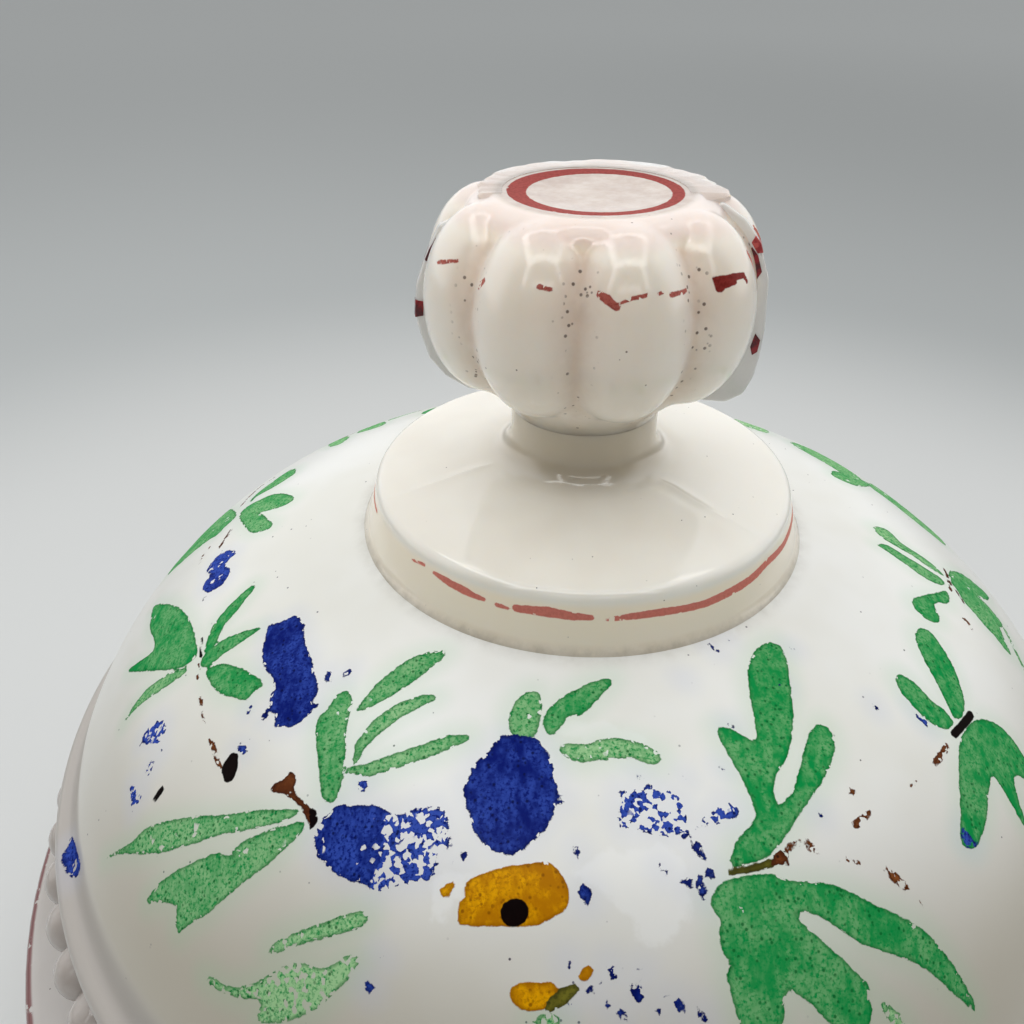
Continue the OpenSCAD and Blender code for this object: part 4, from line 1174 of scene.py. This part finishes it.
# %% Flash and red films
FLASH = (("milky_flash", 0.3, (left_fin, right_fin)), ("clear_flash", 0.85, (lip,)))
RED_FILMS = ((dark_films, "thick_red", srgb(78, 8, 18)), ([pale_film], "thin_red", srgb(196, 84, 80)))
for name, clear, pieces in FLASH:
    clear_finish, tree, surface = new_finish(name, Transmission_Weight=clear, IOR=1.5, Roughness=0.03)
    surface["Base Color"].default_value = srgb(250, 249, 246)
    raise_surface(tree, times(tree, cloud(tree, place_on(tree), 2.4, 2), 0.08), surface)
    for piece in pieces:
        put_on(piece, clear_finish)
for films, name, shade in RED_FILMS:
    film_finish, tree, surface = new_finish(name, Roughness=0.3)
    streaky = ease(tree, cloud(tree, place_on(tree), 0.8, 3, 0.6), 0.4, 0.65)
    wire(tree, blend(tree, streaky, shade, srgb(150, 26, 34)), surface["Base Color"])
    for piece in films:
        put_on(piece, film_finish)

# %% [markdown]
# ## The dish's finish
# The imported dish has the right shape, pearls and all, so it stays and only gets a better material.
# It is coloured greyer than the dome. Round the pearls it is darkened with noise, partly soot and
# partly painted shade under the lid's rim. A dark red line runs round the upper half of the
# flange's edge, with gaps where it has rubbed off.

# %% Dish finish
dish_finish, tree, surface = new_finish("dish_opal_glass", **OPAL)
age = use(tree, old_glass, **{"Speck size": 0.075})
# The dish is coloured greyer than the dome.
colour = blend(tree, age["Clouds"], srgb(198, 194, 190), srgb(186, 180, 174))
out, up = round_place(tree)
spots = cloud(tree, place_on(tree), 1.8, 3, 0.6)
# Round the pearls: partly soot, partly painted shade under the lid's rim.
by_pearls = times(tree, ease(tree, out, 64.4, 65.6), ease(tree, up, 54, 60))
soot_and_shade = times(tree, by_pearls, times_plus(tree, spots, 0.8, 0.25))
colour = blend(tree, times(tree, soot_and_shade, 0.6), colour, srgb(160, 144, 132))
colour = blend(tree, age["Specks"], colour, srgb(70, 62, 58))
on_edge = times(tree, ease(tree, out, 74.3, 74.7), ease(tree, up, 47.8, 48.2))
edge_line = times(tree, on_edge, ease(tree, spots, 0.36, 0.42))
colour = blend(tree, times(tree, edge_line, 0.9), colour, srgb(112, 34, 36))
wire(tree, colour, surface["Base Color"])
surface["Roughness"].default_value = 0.12
raise_surface(tree, age["Waves"], surface)
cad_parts["dish"].material_slots[0].material = dish_finish
print("dish wears", dish_finish.name, "of", len(tree.nodes), "nodes")

# %% [markdown]
# ## Stage and light
# The box stood in a light tent: pale cloth all round, brightest overhead, with the cloth falling to
# grey where it sweeps up behind. One flat floor does the work of the sweep: its colour goes from
# pale to grey with the distance from the box, painted shade for the falloff of the tent's light,
# and so it looks alike from every side. It is also painted a little greyer to the right, as shade.

# %% Floor
FLOOR_SIZE = 8
bpy.ops.object.select_all(action="DESELECT")
bpy.ops.mesh.primitive_plane_add(size=FLOOR_SIZE, location=(0, 0, 0))
floor = bpy.context.object
floor.name = "floor"
floor_finish, tree, surface = new_finish("tent_cloth", Roughness=0.9, Specular_IOR_Level=0.1)
spread = tree.nodes.new("ShaderNodeVectorMath")
spread.operation = "LENGTH"
wire(tree, place_on(tree), spread.inputs[0])
far = spread.outputs["Value"]
sides = tree.nodes.new("ShaderNodeSeparateXYZ")
wire(tree, place_on(tree), sides.inputs[0])
# Painted shade: greyer to the right, and greyer with the distance from the box.
grey = blend(tree, ease(tree, sides.outputs["X"], -0.3, 0.4), srgb(197, 201, 201), srgb(184, 188, 188))
grey = blend(tree, ease(tree, far, 0.5, 1.6), grey, srgb(206, 210, 210))
cloth = blend(tree, ease(tree, far, 0.2, 0.37), srgb(221, 223, 222), grey)
wire(tree, cloth, surface["Base Color"])
floor.data.materials.append(floor_finish)
floor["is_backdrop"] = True
print("floor", FLOOR_SIZE, "m wide")

# %% [markdown]
# Four long bars and a panel stand for the tent's lit roof, with one weak panel at the front. Three
# narrow lamps near the camera stand for a ring of light round its lens: they give each lobe of the
# knob its small bright glint, and hardly light anything else.

# %% Lights
def softbox(name, at, aim, width, depth, watts):
    """A soft rectangular light that faces a point."""
    bpy.ops.object.select_all(action="DESELECT")
    bpy.ops.object.light_add(type="AREA", location=at)
    lamp = bpy.context.object
    lamp.name = name
    lamp.data.shape, lamp.data.size, lamp.data.size_y = "RECTANGLE", width, depth
    lamp.data.energy = watts
    away = [b - a for a, b in zip(at, aim)]
    flat = math.hypot(away[0], away[1])
    lamp.rotation_euler = (math.atan2(flat, -away[2]), 0, math.atan2(-away[0], away[1]))
    print(name, watts, "W")


TENT_TOP, BAR_LONG, BAR_WIDE, BAR_OUT = 0.6, 0.5, 0.1, 0.24
softbox("bar_back", (0, BAR_OUT, TENT_TOP), (0, BAR_OUT, 0), BAR_LONG, BAR_WIDE, 0.3)
softbox("bar_front", (0, -BAR_OUT, TENT_TOP), (0, -BAR_OUT, 0), BAR_LONG, BAR_WIDE, 0.46)
softbox("bar_left", (-BAR_OUT, 0, TENT_TOP), (-BAR_OUT, 0, 0), BAR_WIDE, BAR_LONG, 0.42)
softbox("bar_right", (BAR_OUT, 0, TENT_TOP), (BAR_OUT, 0, 0), BAR_WIDE, BAR_LONG, 0.27)
softbox("tent_top", (0, -0.04, TENT_TOP), (0, -0.04, 0), BAR_OUT * 1.6, BAR_OUT * 1.6, 0.5)
softbox("tent_near", (-0.02, -0.62, 0.22), (0, 0, 0.12), 0.7, 0.4, 0.14)
softbox("ring_left", (-0.32, -0.4, 0.56), (0, 0, 0.13), 0.08, 0.3, 0.16)
softbox("ring_right", (0.3, -0.4, 0.56), (0, 0, 0.13), 0.08, 0.3, 0.13)
softbox("ring_low", (0, -0.58, 0.5), (0, 0, 0.13), 0.5, 0.08, 0.18)

# %% [markdown]
# The tent's walls light the glass from the back and the sides. Where the maker of the picture stood,
# in front, the tent is open and dark, which gives the knob its soft shading. Rays straight from the
# camera see a plain grey, so that no view shows that dark gap behind the floor.

# %% World
TENT_LEVEL, MAKER_LEVEL, HORIZON_LEVEL = 1.1, 0.04, 0.34
world = bpy.data.worlds.new("tent")
bpy.context.scene.world = world
world.use_nodes = True
tree = world.node_tree
sides = tree.nodes.new("ShaderNodeSeparateXYZ")
wire(tree, tree.nodes.new("ShaderNodeTexCoord").outputs["Generated"], sides.inputs[0])
behind = ease(tree, sides.outputs["Y"], -0.5, 0)
level = times_plus(tree, behind, TENT_LEVEL - MAKER_LEVEL, MAKER_LEVEL)
level = times(tree, level, ease(tree, sides.outputs["Z"], 0.95, 0.75))
seen = tree.nodes.new("ShaderNodeLightPath").outputs["Is Camera Ray"]
unseen = times(tree, level, calc(tree, "SUBTRACT", 1, seen))
background = tree.nodes["Background"].inputs
wire(tree, times_plus(tree, seen, HORIZON_LEVEL, unseen), background["Strength"])
background["Color"].default_value = (1, 1, 1, 1)
bpy.context.scene.view_settings.view_transform = "Standard"
print("world levels", TENT_LEVEL, MAKER_LEVEL, HORIZON_LEVEL)

# %% [markdown]
# ## Sizes
# Last, the box that all pieces fill is measured again and printed beside that of the imported
# model. The dressed pieces have to stay inside it.

# %% Sizes and finish
visual_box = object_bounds()
for label, box in (("cad", cad_box), ("visual", visual_box)):
    print(label, [round(v, 4) for corner in box for v in corner])
